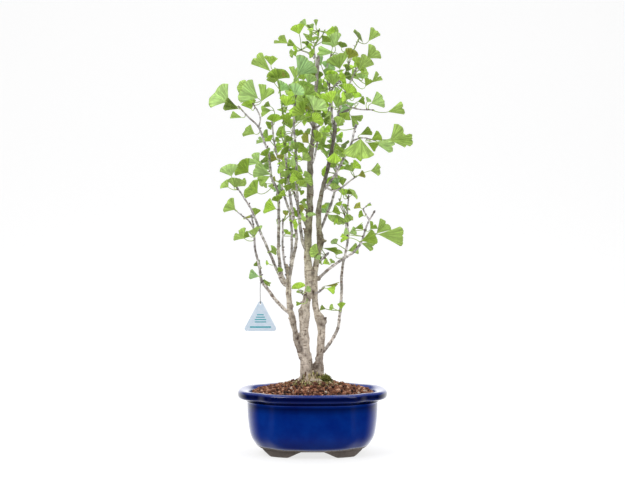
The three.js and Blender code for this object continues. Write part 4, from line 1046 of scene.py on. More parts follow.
def rootRows():
    # six surface roots fanned round the foot that dip into the soil, then three deep ones
    draw = seeded(77)
    rows = []
    for i in range(6):
        turn = math.radians(-160 + 320 / 6 * i + 14 * next(draw))
        reach = 30 + 22 * next(draw)
        bend = 0.5 * (next(draw) - 0.5)
        stations = [[0.05, 116, 5], [0.36, 123, 4.2], [0.68, 117, 2.9], [1, 106, 1.6]]
        headings = [turn + bend * share for share, _, _ in stations]
        rows.append([
            [reach * share * math.cos(heading), reach * share * math.sin(heading), height, radius]
            for heading, (share, height, radius) in zip(headings, stations)
        ])
    for i in range(3):
        turn = math.radians(120 * i + 35)
        reach = 52 + 20 * next(draw)
        rows.append([
            [0, 0, 98, 6], [reach * 0.45 * math.cos(turn), reach * 0.45 * math.sin(turn), 74, 3.4],
            [reach * math.cos(turn), reach * 0.8 * math.sin(turn), 44, 1.4],
        ])
    return rows


def unevenTube(rows, spacing, sides, phase):
    # a tube whose radius swells and shrinks by a few percent along it and around it
    path = smoothRows(rows, spacing)
    along = np.arange(len(path))[:, None] * spacing
    around = np.linspace(0, 2 * math.pi, sides, endpoint=False)[None, :]
    swell = 1 + 0.05 * np.sin(along / 7 + phase) + 0.03 * np.sin(along / 3.1 + 2 * phase)
    fluted = 0.05 * np.sin(3 * around + along / 25 + phase) + 0.03 * np.sin(5 * around - along / 18)
    return tubeSurface(path[:, :3], path[:, 3:] * (swell + fluted), sides)


def barkTint(points):
    # by height up the trunk; darker near knots and high on the right trunk; painted shade in the creases
    # where stems part, darkest in the hollows between the trunks
    heights = np.array([height for height, _ in woodColours])
    colours = np.array([linear(*colour) for _, colour in woodColours])
    tint = np.stack([np.interp(points[:, 2], heights, colours[:, i]) for i in range(3)], -1)
    darkAndShaded = np.zeros(len(points))
    for x, y, z, radius, reach in knots:
        distance = np.linalg.norm((points - [x, y, z]) * [1, 1, 0.8], axis=1)
        darkAndShaded = np.maximum(darkAndShaded, shading["knot"] * np.exp(-(distance / reach) ** 4))
    # painted shade in the creases and, below, in the hollows
    for x, y, z, reach in creases:
        distance = np.linalg.norm((points - [x, y, z]) * [1, 0.4, 0.7], axis=1)
        darkAndShaded = np.maximum(darkAndShaded, shading["crease"] * np.exp(-(distance / reach) ** 2))
    inCrown = np.clip((points[:, 2] - crownShade["from"]) / crownShade["over"], 0, 1)
    inCrown = inCrown * np.clip((points[:, 0] - crownShade["right"]) / crownShade["width"], 0, 1)
    tint = tint * (1 - crownShade["share"] * inCrown)[:, None]
    patches = 0.5 + 0.5 * lumps(points[:, 0] * 2 + points[:, 1], points[:, 2], 6)
    darkAndShaded = darkAndShaded * np.clip(shading["least"] + shading["patches"] * patches, 0, 1)
    for x, y, z, reach in hollowShadows:
        distance = np.linalg.norm(points - [x, y, z], axis=1)
        darkAndShaded = np.maximum(darkAndShaded, np.exp(-(distance / reach) ** 2))
    return tint + (darkBark - tint) * darkAndShaded[:, None]


def buildTrunk():
    # all the wood joined by a voxel remesh, smoothed, then roughened along its normals
    spacing = trunk["spacing"]
    tubes = [unevenTube(rows, spacing, trunk["sides"], i) for i, rows in enumerate(trunks.values())]
    tubes += [unevenTube(rows, spacing, trunk["rootSides"], i + 3) for i, rows in enumerate(rootRows())]
    tubes += [ball(knot[:3], knot[3]) for knot in knots]
    for start, end, radius in stubs:
        path = np.linspace(start, end, 6)
        tubes.append(tubeSurface(path, radius * np.array([1.3, 1.1, 1, 0.95, 1, 0.8]), 10))
    whole = gather(tubes)
    whole.pop("uv")
    piece = addPiece("trunk_wood", whole, [bark], nodes=["trunk"])
    remesh = piece.modifiers.new("join", "REMESH")
    remesh.mode = "VOXEL"
    remesh.voxel_size = trunk["voxel"] * mm
    remesh.use_smooth_shade = True
    soften = piece.modifiers.new("soften", "SMOOTH")
    soften.factor = 0.5
    soften.iterations = trunk["smoothing"]
    applyModifiers(piece)
    mesh = piece.data
    count = len(mesh.vertices)
    places = np.empty(count * 3, np.float32)
    normals = np.empty(count * 3, np.float32)
    mesh.vertices.foreach_get("co", places)
    mesh.vertices.foreach_get("normal", normals)
    points = (places.reshape(-1, 3) - potMiddle) / mm
    x, y, z = points.T
    ridges = np.sin(x * 1.7 + 2 * np.sin(z / 13)) * np.cos(y * 1.9 + z / 9) + 0.6 * np.sin(z * 1.5 + x + y)
    swelling = trunk["lump"] * lumps(x + y, z, 5.5) + trunk["ridge"] * ridges
    thickness = np.interp(z, [120, 500, 660], [1, 0.75, 0.45])
    points = points + normals.reshape(-1, 3) * (swelling * thickness)[:, None]
    mesh.vertices.foreach_set("co", inFrame(points).astype(np.float32).ravel())
    paintPoints(mesh, barkTint(points))
    mesh.update()


buildTrunk()

# where each leaf stands: the same rule and draws as the solids
growth = {
    "woodSpacing": 40, "woodClearance": 0.8, "petioleClearance": 1.6, "broadFrom": 25, "seed": 2024,
    "fullness": 1.22, "widest": 76, "extraDepths": [0, 6, 12, 18, 24, 30, 36],
}


def branchesOf(spray):
    # the stem, then its twigs, if it has any
    return [spray["stem"], *spray.get("twigs", [])]


def woodOf(spray):
    # points at each quarter of the straight stretches between smoothed rows
    shares = np.array([0, 0.25, 0.5, 0.75, 1])[None, :, None]
    points = []
    for rows in branchesOf(spray):
        path = smoothRows(rows, growth["woodSpacing"])
        points.append((path[:-1, None] + (path[1:] - path[:-1])[:, None] * shares).reshape(-1, 4))
    return np.vstack(points)


def planLeaf(row, wood, draw):
    # a row's own roll and half spread come before the drawn ones
    x, z, direction, length = row[:4]
    side = -1 if next(draw) < 0.5 else 1
    depth = 7 + 11 * next(draw)
    lift = math.radians(8 + 28 * next(draw))
    roll = 10 + 45 * next(draw)
    roll = roll * (-1 if next(draw) < 0.5 else 1)
    spread = 50 + 16 * next(draw)
    if len(row) > 4:
        roll = row[4]
    if len(row) > 5:
        spread = min(row[5] * growth["fullness"], growth["widest"])
    root = wood[np.argmin(np.hypot(wood[:, 0] - x, wood[:, 2] - z))]
    return {
        "x": x, "z": z, "turn": math.radians(direction), "length": length, "side": side, "depth": depth,
        "lift": lift, "roll": math.radians(roll), "spread": math.radians(spread), "root": root[:3],
    }


def leanedOut(turn, lift):
    # a direction in the front view, leaned out of it by the lift
    return np.array([math.cos(turn) * math.cos(lift), math.sin(lift), math.sin(turn) * math.cos(lift)])


def bladeFace(along, roll):
    # square to the blade's length: toward the front, turned about that length by the roll
    facing = across(np.array([0, -1.0, 0]), along)
    return facing * math.cos(roll) + np.cross(along, facing) * math.sin(roll)


def standLeaf(plan, side, depth):
    # off its wood by a depth to one side, leaning out to that side, rolled about its own length
    along = leanedOut(plan["turn"], plan["lift"] * side)
    base = np.array([plan["x"], plan["root"][1] + side * depth, plan["z"]])
    return {
        "root": plan["root"], "base": base, "along": along, "up": bladeFace(along, plan["roll"]),
        "length": plan["length"], "spread": plan["spread"],
    }


def leafProbes(leaf):
    # balls on a fan: three reaches by five shares of the spread, a fifth of the length in radius
    side = np.cross(leaf["along"], leaf["up"])
    grids = np.meshgrid([0.35, 0.65, 0.95], [-1, -0.5, 0, 0.5, 1], indexing="ij")
    reach, share = [grid.ravel() for grid in grids]
    far = reach * leaf["length"]
    turn = leaf["spread"] * share
    spots = np.outer(far * np.cos(turn), leaf["along"]) + np.outer(far * np.sin(turn), side)
    return np.hstack([leaf["base"] + spots, np.full((len(far), 1), 0.2 * leaf["length"])])


def petioleProbes(leaf):
    # three balls on the straight line from the wood to the blade
    shares = np.array([0.4, 0.7, 1])[:, None]
    places = leaf["root"] + (leaf["base"] - leaf["root"]) * shares
    return np.hstack([places, np.full((3, 1), growth["petioleClearance"])])


def touches(probes, balls):
    # whether any probe is nearer to any ball than their radii together
    gaps = np.linalg.norm(probes[:, None, :3] - balls[None, :, :3], axis=-1)
    return bool((gaps < probes[:, None, 3] + balls[None, :, 3]).any())


def clearLeaf(plan, balls, owners, owner):
    # one side, then the other, ever further out, until nothing placed before is touched;
    # where none is clear, the first place
    others = owners != owner
    for extra in growth["extraDepths"]:
        for side in (plan["side"], -plan["side"]):
            leaf = standLeaf(plan, side, plan["depth"] + extra)
            if not touches(leafProbes(leaf), balls) and not touches(petioleProbes(leaf), balls[others]):
                return leaf
    return standLeaf(plan, plan["side"], plan["depth"])


def standAllLeaves():
    # spray by spray and row by row; each leaf is in the way of those after it
    names = list(sprays)
    trunkPoints = np.vstack([smoothRows(rows, 5) for rows in trunks.values()])
    woods = {name: woodOf(sprays[name]) for name in names}
    grown = lambda points: points + [0, 0, 0, growth["woodClearance"]]
    balls = np.vstack([grown(trunkPoints)] + [grown(woods[name]) for name in names])
    woodOwners = [name for name in names for _ in woods[name]]
    owners = np.array(["trunk"] * len(trunkPoints) + woodOwners, dtype=object)
    draw = seeded(growth["seed"])
    standing = {}
    for name in names:
        standing[name] = []
        for row in sprays[name]["leaves"]:
            leaf = clearLeaf(planLeaf(row, woods[name], draw), balls, owners, name)
            blades = leafProbes(leaf)
            stalks = petioleProbes(leaf)
            balls = np.vstack([balls, blades, stalks])
            owners = np.concatenate([owners, [name + " leaves"] * len(blades), [name] * len(stalks)])
            standing[name].append(leaf)
    return standing


print("leaf places")
standing = standAllLeaves()

print("twigs")
twig = {
    "spacing": 2.5, "sides": 9, "nodeEvery": 15, "nodeSwell": 0.16, "nodeLength": 1.7, "wobble": 0.22,
    "spur": 2.6, "spurRadius": 1.1, "seed": 40,
}
# the height above which a stem is this year's green wood
greenShoots = {
    "centre_left_spray": 498, "top_spray": 676, "centre_shoot_spray": 588, "upper_right_back_spray": 676,
}
greenWood = linear(150, 182, 92)


def twigTint(points, radii, rings, name):
    # thick wood like the trunk's, thin wood greyer, each stretch a little lighter or darker, new shoots green
    trunkTint = barkTint(points)
    thin = np.clip((3.4 - radii) / 1.6, 0, 1)[:, None]
    tint = trunkTint + (twigColour - trunkTint) * thin
    stretch = 1 + 0.3 * np.sin(points[:, 2] / 6.5 + points[:, 0] / 9)
    blotch = 1 + 0.26 * np.sin(points[:, 2] / 1.9 + 3 * np.sin(points[:, 0]))
    tint = tint * (stretch * blotch * rings)[:, None]
    if name in greenShoots:
        green = np.clip((points[:, 2] - greenShoots[name]) / 12, 0, 1)[:, None]
        tint = tint + (greenWood - tint) * green
    return tint


def twigSurface(rows, name, generator):
    # swells at each node by a bell curve and ends in a pointed bud
    path = smoothRows(rows, twig["spacing"])
    gone = np.concatenate([[0], np.cumsum(np.linalg.norm(np.diff(path[:, :3], axis=0), axis=1))])
    phase = generator.uniform(0, twig["nodeEvery"])
    fromNode = (gone + phase) % twig["nodeEvery"] - twig["nodeEvery"] / 2
    swell = 1 + twig["nodeSwell"] * np.exp(-(fromNode / twig["nodeLength"]) ** 2)
    wobble = twig["wobble"] * np.stack([np.sin(gone / 5 + phase), np.cos(gone / 6.3 + phase)], -1)
    places = path[:, :3].copy()
    places[:, :2] += wobble
    radii = path[:, 3] * swell
    heading = unit(places[-1] - places[-3])
    bud = path[-1, 3] * np.array([[1.2, 1.45], [2.6, 1.5], [4.0, 0.95], [5.0, 0.25]])
    places = np.vstack([places, places[-1] + bud[:, :1] * heading])
    radii = np.concatenate([radii, bud[:, 1]])
    part = tubeSurface(places, radii, twig["sides"])
    rings = 1 - 0.55 * np.exp(-(fromNode / 1.4) ** 2)
    rings = np.concatenate([rings, np.full(len(bud), 0.6)])
    whole = lambda values: np.concatenate([np.repeat(values, twig["sides"]), values[:1], values[-1:]])
    return tinted(part, twigTint(part["points"], whole(radii), whole(rings), name))


def spurAt(start, towards, radius, length, colour):
    # a short ringed spur: the radius steps in and out a little along it
    direction = unit(np.asarray(towards) - start)
    steps = np.linspace(0, 1, 7)[:, None]
    path = start + direction * steps * length
    radii = radius * np.array([1.15, 1.0, 1.08, 0.94, 1.08, 0.96, 0.5])
    return tinted(tubeSurface(path, radii, 7), colour)


def bareStubs(rows, generator):
    # small leafless spurs to one side and the other up the stem
    path = smoothRows(rows, 4)
    count = max(1, len(path) // 9)
    picks = generator.integers(2, max(3, len(path) - 1), count)
    parts = []
    for pick in picks:
        start, radius = path[pick, :3], path[pick, 3]
        outward = np.array([generator.uniform(-1, 1), generator.uniform(-1, 1), generator.uniform(0.2, 0.9)])
        length = radius + generator.uniform(1.2, 3.6)
        size = min(twig["spurRadius"], radius * 0.6)
        parts.append(spurAt(start, start + outward, size, length, darkBark * 1.7))
    return parts


def onFineWood(point, finePaths):
    # the place on the smooth wood nearest to a point, with its radius
    whole = np.vstack(finePaths)
    return whole[np.argmin(np.linalg.norm(whole[:, :3] - point, axis=1))]


leafShape = {
    "petioleRadius": 0.72, "thickness": 0.4, "cup": 0.1, "wave": 0.04, "droop": 0.12, "notch": [0.01, 0.1],
    "cleft": [0.2, 0.36], "cleftOdds": 0.16, "narrow": 0.9, "shoulder": 0.12, "flat": 0.98, "corner": 1.0,
    "ripple": 0.014, "fold": 0.18,
}
# the darkest green is a painted shade, for leaves that sit in shadow
leafColours = {
    "pale": (164, 198, 116), "blue": (152, 194, 124), "mid": (152, 184, 86), "bright": (174, 216, 66),
    "deep": (126, 158, 42), "darkAndShaded": (88, 114, 18), "olive": (146, 150, 52),
}
# the colour of each leaf in its row, by a letter; r is bright, k is the painted shade of a leaf in shadow, a
# dot leaves it to the odds
leafLooks = {
    "low_left_spray": "dpmm..mod.", "left_front_spray": "mmpmm..mp",
    "left_tall_spray": "pkmrdmpmmppdpkpdpmdr", "left_short_spray": ".dp",
    "centre_left_spray": "mddbr.dr.d..", "left_back_spray": "mkrdmd.m..",
    "centre_spray": "mb....p.d.rr.dor.p", "top_spray": "ddrpkk....", "rear_left_spray": "..b..d.r..",
    "rear_right_spray": ".....r..m..b", "right_front_spray": "mmrddmddpmdrmo.",
    "right_back_spray": "rmmr.dkmmmmo", "right_low_spray": "dmmmdppdrod.",
    "upper_right_back_spray": "mkokmr.rmm..pp",
    "upper_right_front_spray": "mmmpdmrmb.ppmmdrr", "left_rosette": "d.pr", "right_low_rosette": "or",
    "right_mid_rosette": "prmd",
}
lookLetters = {
    "p": "pale", "b": "blue", "m": "mid", "r": "bright", "d": "deep", "k": "darkAndShaded", "o": "olive",
}
leafOdds = {
    "broad": {"pale": 0.34, "blue": 0.28, "mid": 0.22, "deep": 0.1, "darkAndShaded": 0.06},
    "middling": {
        "pale": 0.12, "blue": 0.14, "mid": 0.28, "bright": 0.18, "deep": 0.16, "darkAndShaded": 0.09, "olive": 0.03,
    },
    "small": {"pale": 0.08, "mid": 0.26, "bright": 0.32, "deep": 0.2, "darkAndShaded": 0.1, "olive": 0.04},
}
# the shortest leaf of each size
leafSizes = {"broad": 24, "middling": 16, "small": 0}
petioleColour = linear(164, 186, 110)


def bladeSurface(leaf, generator):
    # a fan with straight sides and a flatter far edge, rippled and notched in the middle; cupped, waved,
    # drooping and folded along its middle
    isBroad = leaf["length"] >= growth["broadFrom"]
    columns, rows = (27, 7) if isBroad else (19, 5)
    u = np.linspace(-1, 1, columns)[None, :]
    v = np.linspace(0, 1, rows)[:, None] ** 0.85
    phase = generator.uniform(0, 2 * math.pi)
    lobes = generator.uniform(6, 10)
    isCleft = generator.random() < leafShape["cleftOdds"]
    notch = generator.uniform(*leafShape["cleft" if isCleft else "notch"])
    notch = notch * np.exp(-((u - generator.uniform(-0.06, 0.06)) / 0.1) ** 2)
    ripple = leafShape["ripple"] * (np.sin(lobes * u + phase) + 0.6 * np.sin(2.7 * lobes * u + 2 * phase))
    far = leafShape["flat"] + (leafShape["corner"] + 0.06 - leafShape["flat"]) * u ** 2
    far = far - notch - leafShape["shoulder"] * np.abs(u) ** 6 + ripple
    reach = leaf["length"] * v * (1 + (far - 1) * v ** 1.4)
    turn = leaf["spread"] * u * (leafShape["narrow"] + (1 - leafShape["narrow"]) * v)
    cup = leafShape["cup"] * generator.uniform(-0.3, 1.3) * u ** 2 * v
    waves = leafShape["wave"] * np.sin(6.5 * u + phase) * v ** 2
    droop = leafShape["droop"] * generator.uniform(-0.5, 1) * v ** 2
    fold = leafShape["fold"] * np.abs(u) * v * generator.uniform(-1, 1)
    rise = leaf["length"] * (cup + waves - droop + fold)
    side = np.cross(leaf["along"], leaf["up"])
    middle = leaf["base"] + np.multiply.outer(reach * np.cos(turn), leaf["along"])
    middle = middle + np.multiply.outer(reach * np.sin(turn), side) + np.multiply.outer(rise, leaf["up"])
    half = leafShape["thickness"] / 2 * np.multiply.outer(1 - 0.5 * v * np.ones_like(u), leaf["up"])
    points = np.vstack([(middle + half).reshape(-1, 3), (middle - half).reshape(-1, 3)])
    count = rows * columns
    edge = np.concatenate([
        np.arange(columns), np.arange(1, rows) * columns + columns - 1,
        (rows - 1) * columns + np.arange(columns - 2, -1, -1), np.arange(rows - 2, 0, -1) * columns,
    ])
    following = np.roll(edge, -1)
    rim = np.stack([edge, edge + count, following + count, following], -1)
    faces = [gridFaces(rows, columns), gridFaces(rows, columns, flipped=True) + count, rim]
    uv = np.stack([np.tile(u, (rows, 1)).ravel(), np.tile(v, (1, columns)).ravel()], -1)
    uv = uv * [0.5, 1] + [0.5, 0]
    return {"points": points, "faces": faces, "uv": np.vstack([uv, uv])}


def petioleBend(leaf, start):
    # behind the blade's base, in line with the blade, by a share of the stalk's reach
    return leaf["base"] - leaf["along"] * np.linalg.norm(leaf["base"] - start) * 0.45


def petioleSurface(leaf, start):
    # a thin stalk on a quadratic Bezier curve that ends in line with the blade
    base = leaf["base"]
    bend = petioleBend(leaf, start)
    t = np.linspace(0, 1, 8)[:, None]
    path = start * (1 - t) ** 2 + bend * 2 * t * (1 - t) + base * t ** 2
    path = np.vstack([path, base + leaf["along"] * leaf["length"] * 0.06])
    radii = leafShape["petioleRadius"] * np.concatenate([np.linspace(1.15, 0.85, 8), [0.4]])
    part = tubeSurface(path, radii, 5)
    part["uv"] = np.tile([0.5, 0.4], (len(part["points"]), 1))
    return tinted(part, petioleColour)


def leafTint(leaf, letter, generator):
    # the colour of its letter, or one drawn by the odds for its size, then a little lighter
    kind = next(size for size, shortest in leafSizes.items() if leaf["length"] >= shortest)
    odds = leafOdds[kind]
    pick = generator.choice(list(odds), p=np.array(list(odds.values())) / sum(odds.values()))
    return linear(*leafColours[lookLetters.get(letter, pick)]) * generator.uniform(1.0, 1.34)


young = {
    "middle": 4, "halfWidth": 74, "lowest": 330, "most": 2, "odds": 0.75, "turns": [-25, 205],
    "lifts": [-60, 60], "rolls": [-55, 55], "stalk": [9, 20], "length": [9, 17], "spreads": [48, 66],
    "seed": 300,
}


def youngLeaves(leaves, generator):
    # beside many leaves of the inner crown, one or two small ones that leave the same place on the wood
    found = []
    for leaf in leaves:
        inward = abs(leaf["root"][0] - young["middle"]) / young["halfWidth"]
        for _ in range(young["most"]):
            if generator.random() > young["odds"] * (1 - inward ** 2) or leaf["root"][2] < young["lowest"]:
                continue
            turn = math.radians(generator.uniform(*young["turns"]))
            along = leanedOut(turn, math.radians(generator.uniform(*young["lifts"])))
            up = bladeFace(along, math.radians(generator.uniform(*young["rolls"])))
            base = leaf["root"] + along * generator.uniform(*young["stalk"])
            length = generator.uniform(*young["length"])
            spread = math.radians(generator.uniform(*young["spreads"]))
            found.append({
                "root": leaf["root"], "base": base, "along": along, "up": up,
                "length": length, "spread": spread,
            })
    return found


print("sprays")
for index, (name, spray) in enumerate(sprays.items()):
    generator = np.random.default_rng(twig["seed"] + index)
    finePaths = [smoothRows(rows, twig["spacing"]) for rows in branchesOf(spray)]
    wood = [twigSurface(rows, name, generator) for rows in branchesOf(spray)]
    wood += [stub for rows in branchesOf(spray) for stub in bareStubs(rows, generator)]
    foliage = []
    letters = leafLooks.get(name, "." * len(standing[name]))
    for leaf, letter in zip(standing[name], letters):
        start = onFineWood(leaf["root"], finePaths)
        bend = petioleBend(leaf, start[:3])
        length = start[3] + twig["spur"] * generator.uniform(0.5, 1.1)
        wood.append(spurAt(start[:3], bend, twig["spurRadius"], length, darkBark * 2.2))
        foliage.append(petioleSurface(leaf, start[:3]))
        foliage.append(tinted(bladeSurface(leaf, generator), leafTint(leaf, letter, generator)))
    generator = np.random.default_rng(young["seed"] + index)
    for leaf in youngLeaves(standing[name], generator):
        foliage.append(petioleSurface(leaf, leaf["root"]))
        foliage.append(tinted(bladeSurface(leaf, generator), leafTint(leaf, ".", generator)))
    title = name.replace("_spray", "")
    addPiece(title + "_twigs", gather(wood), [bark], nodes=[name])
    addPiece(title + "_leaves", gather(foliage), [leafGreen], nodes=[name])


print("moss and fine roots")
mossBed = {
    "centre": [19, -5, 118], "size": [13, 10, 12], "tufts": 900, "spread": 520, "tall": [1.8, 5.2],
    "lean": 0.45, "footRadius": 0.75, "seed": 71,
}
mossGreens = [(126, 134, 52), (96, 108, 38), (170, 166, 92), (72, 66, 34)]
fineRoots = {
    "count": 130, "steps": 9, "feet": [-8, 11], "leftShare": 0.6, "footRadius": 8, "turns": [-2.9, 0.4],
    "wander": 0.4, "strides": [1.6, 4], "lift": 1.4, "wave": 1.6, "uneven": 0.8, "rise": [2, 13], "dip": 3,
    "thick": [0.5, 1.15], "thin": 0.35, "spacing": 1.6, "sides": 6, "seed": 72,
}
rootColours = [(198, 182, 140), (164, 160, 92), (214, 202, 170), (120, 92, 70)]


def mossPatch():
    # small pointed tufts standing on a low mound, and thinly over the soil round the trunk
    generator = np.random.default_rng(mossBed["seed"])
    centre = np.array(mossBed["centre"], float)
    size = np.array(mossBed["size"], float)
    directions = unit(generator.normal(size=(mossBed["tufts"], 3)) * [1, 1, 0.9] + [0, -0.3, 0.9])
    roots = centre + directions * size
    x = generator.normal(2, 19, mossBed["spread"])
    y = generator.normal(-12, 12, mossBed["spread"])
    height, _ = soilHeight(x, y)
    roots = np.vstack([roots, np.stack([x, y, height + 0.6], -1)])
    upward = np.vstack([directions, np.tile([0, 0, 1.0], (mossBed["spread"], 1))])
    upward = unit(upward + mossBed["lean"] * generator.normal(size=upward.shape))
    tall = generator.uniform(*mossBed["tall"], len(roots))
    side = unit(np.cross(upward, unit(generator.normal(size=upward.shape))))
    other = np.cross(upward, side)
    turn = np.array([0, 2, 4]) * math.pi / 3
    rims = np.cos(turn)[None, :, None] * side[:, None] + np.sin(turn)[None, :, None] * other[:, None]
    feet = roots[:, None] + rims * mossBed["footRadius"]
    points = np.concatenate([feet, (roots + upward * tall[:, None])[:, None]], 1).reshape(-1, 3)
    base = np.array([[0, 1, 3], [1, 2, 3], [2, 0, 3], [0, 2, 1]])
    faces = (base[None] + 4 * np.arange(len(roots))[:, None, None]).reshape(-1, 3)
    greens = np.array([linear(*green) for green in mossGreens])
    tint = greens[generator.integers(0, len(greens), len(roots))]
    tint = tint * generator.uniform(0.8, 1.2, (len(roots), 1))
    tufts = {"points": points, "faces": [faces], "tint": np.repeat(tint, 4, axis=0)}
    mound = ball([0, 0, 0], 1, 18)
    mound["points"] = centre + mound["points"] * size * 0.97
    mound.pop("uv")
    return gather([tufts, tinted(mound, linear(70, 72, 30))])


def rootTangle():
    # thin roots that leave the foot of the trunks and wander down over the soil
    generator = np.random.default_rng(fineRoots["seed"])
    parts = []
    left, right = fineRoots["feet"]
    steps = fineRoots["steps"]
    for _ in range(fineRoots["count"]):
        turn = generator.uniform(*fineRoots["turns"])
        foot = np.array([left if generator.random() < fineRoots["leftShare"] else right, 0])
        start = foot + fineRoots["footRadius"] * np.array([math.cos(turn), math.sin(turn)])
        heading = turn + np.cumsum(generator.uniform(-fineRoots["wander"], fineRoots["wander"], steps))
        stride = generator.uniform(*fineRoots["strides"])
        x = start[0] + np.cumsum(np.cos(heading)) * stride
        y = start[1] + np.cumsum(np.sin(heading)) * stride
        height, _ = soilHeight(x, y)
        height = height + fineRoots["lift"] + fineRoots["wave"] * np.sin(np.arange(steps) * 1.7 + turn * 9)
        height = height + generator.uniform(-fineRoots["uneven"], fineRoots["uneven"], steps)
        height[0] += generator.uniform(*fineRoots["rise"])
        height[-1] -= fineRoots["dip"]
        radii = np.linspace(generator.uniform(*fineRoots["thick"]), fineRoots["thin"], steps)
        path = smoothRows(np.stack([x, y, height, radii], -1), fineRoots["spacing"])
        colour = linear(*rootColours[generator.integers(0, len(rootColours))])
        parts.append(tinted(tubeSurface(path[:, :3], path[:, 3], fineRoots["sides"]), colour))
    return gather(parts)


addPiece("moss_patch", mossPatch(), [moss])
addPiece("fine_roots", rootTangle(), [bark])

print("tag and string")
tag = {"halfWidth": 28.5, "height": 52, "thickness": 1, "corner": 4, "holeRadius": 1.6, "holeFromApex": 6.5}
tagHole = np.array([-87, -12.5, 251.15])
tagFoot = tagHole[2] - (tag["height"] - tag["holeFromApex"])
# the rounded edge: [share of the thickness, inset]
tagEdge = [[-0.5, 0.25], [-0.38, 0.06], [-0.2, 0], [0.2, 0], [0.38, 0.06], [0.5, 0.25]]
tie = {
    "centre": np.array([-84, -12, 287.0]), "along": unit([-8, -3, 17]), "loopRadius": 3.25, "thread": 0.45,
    "sides": 10,
}
strandRoute = [
    [-87.3, -13.2, 276], [-87.2, -13.9, 263], [-87, -14, 254.6], [-87, -13.5, 252.5], [-87, -12.4, 252],
    [-87, -11.2, 252],
]


def tagOutline():
    # a triangle whose three corners are arcs; angles are those of the sides' outward normals
    radius = tag["corner"]
    lean = math.atan2(tag["height"], tag["halfWidth"])
    out = tag["halfWidth"] - radius * 1.55
    corners = [[out, radius], [0, tag["height"] - radius * 1.6], [-out, radius]]
    starts = [-math.pi / 2, math.pi / 2 - lean, math.pi / 2 + lean]
    ends = [math.pi / 2 - lean, math.pi / 2 + lean, 3 * math.pi / 2]
    arcs = []
    for (x, z), start, end in zip(corners, starts, ends):
        turn = np.linspace(start, end, 12)
        arcs.append(np.stack([x + radius * np.cos(turn), z + radius * np.sin(turn)], -1))
    return np.vstack(arcs)


def tagPlate():
    # the outline carried through the thickness, with a fine round on both edges
    rings = []
    for depth, inset in tagEdge:
        x, z = (tagOutline() * (1 - inset / 26)).T
        y = tagHole[1] + depth * tag["thickness"] + 0 * x
        rings.append(np.stack([tagHole[0] + x, y, tagFoot + z + inset * 0.6], -1))
    return closedSurface(np.array(rings)[:, ::-1])


def ribbon(start, end, width):
    # a thin flat bar on the tag's face between two places of [across, up]
    start = np.array(start, float)
    end = np.array(end, float)
    side = unit(np.array([-(end - start)[1], (end - start)[0]])) * width / 2
    flat = np.array([start - side, end - side, end + side, start + side])
    face = tagHole[1] - tag["thickness"] / 2
    rings = [
        np.stack([tagHole[0] + flat[:, 0], np.full(4, face - out), tagFoot + flat[:, 1]], -1)
        for out in (0.06, -0.1)
    ]
    return closedSurface(np.array(rings))


plate = addPiece("tag_card", tagPlate(), [card], smooth=False, nodes=["tag"])
holePath = tagHole + np.array([[0, -3, 0], [0, 3, 0]])
cutFrom(plate, [looseObject("tag_hole_cutter", tubeSurface(holePath, [tag["holeRadius"]] * 2, 32))])
# plain rules: [half length, height, width]
ruleRows = [[17.5, 6.5, 2.4], [9.5, 15, 1.7], [9.5, 19, 1.7], [7.5, 23, 1.7], [5.5, 27, 1.7]]
rules = [ribbon([-half, up], [half, up], width) for half, up, width in ruleRows]
printed = addPiece("tag_lines", gather(rules), [ink], smooth=False)

upright = across(np.array([-1.0, 0, 0]), tie["along"])
sideways = np.cross(tie["along"], upright)
start = tie["centre"] + upright * tie["loopRadius"]
turn = np.linspace(0, 2 * math.pi, 49)[:, None]
loopPath = tie["centre"] + tie["loopRadius"] * (np.cos(turn) * upright + np.sin(turn) * sideways)
loopPath = loopPath + tie["along"] * 0.9 * np.sin(turn / 2) ** 2


def ringSurface(path, radius, sides):
    # a tube on a closed path: the first ring is used again as the last
    tangents = unit(np.roll(path, -1, 0) - np.roll(path, 1, 0))
    normals = unit(path - path.mean(0))
    normals = unit(normals - tangents * (normals * tangents).sum(1, keepdims=True))
    binormals = np.cross(tangents, normals)
    around = np.linspace(0, 2 * math.pi, sides, endpoint=False)[None, :, None]
    rings = path[:, None] + radius * (np.cos(around) * normals[:, None] + np.sin(around) * binormals[:, None])
    count = len(path)
    quads = gridFaces(count + 1, sides, closed=True) % (count * sides)
    uv = np.stack(np.meshgrid(np.arange(sides) / sides, np.arange(count) / count), -1).reshape(-1, 2)
    return {"points": rings.reshape(-1, 3), "faces": [quads], "uv": uv}


knotBall = ball(start, 1.0)
endKnot = ball([-87, -11.4, 252], 0.95)
loop = gather([ringSurface(loopPath[:-1], tie["thread"], tie["sides"]), knotBall])
addPiece("string_loop", loop, [thread], nodes=["tag_string"])
strandPath = smoothRows([[*start, 0], *[[*point, 0] for point in strandRoute]], 1.2)[:, :3]
strandTube = tubeSurface(strandPath, np.full(len(strandPath), tie["thread"]), tie["sides"])
strand = addPiece("string_strand", strandTube, [thread], nodes=["tag_string"])
knotPiece = addPiece("string_knot", endKnot, [thread])

print("stage and light")
stage = {"front": -3.2, "back": 1.6, "radius": 0.9, "top": 3.2, "halfWidth": 4.5, "glow": 0.735}


def sweptFloor():
    # a flat floor that bends up through a quarter circle into a wall
    bend = np.linspace(0, math.pi / 2, 24)
    curve = stage["back"] + stage["radius"] * np.sin(bend)
    y = np.concatenate([[stage["front"]], curve, [stage["back"] + stage["radius"]]])
    z = np.concatenate([[0], stage["radius"] * (1 - np.cos(bend)), [stage["top"]]])
    x = np.array([-stage["halfWidth"], stage["halfWidth"]])
    points = np.stack([np.tile(x, len(y)), np.repeat(y, 2), np.repeat(z, 2)], -1)
    return points, gridFaces(len(y), 2)


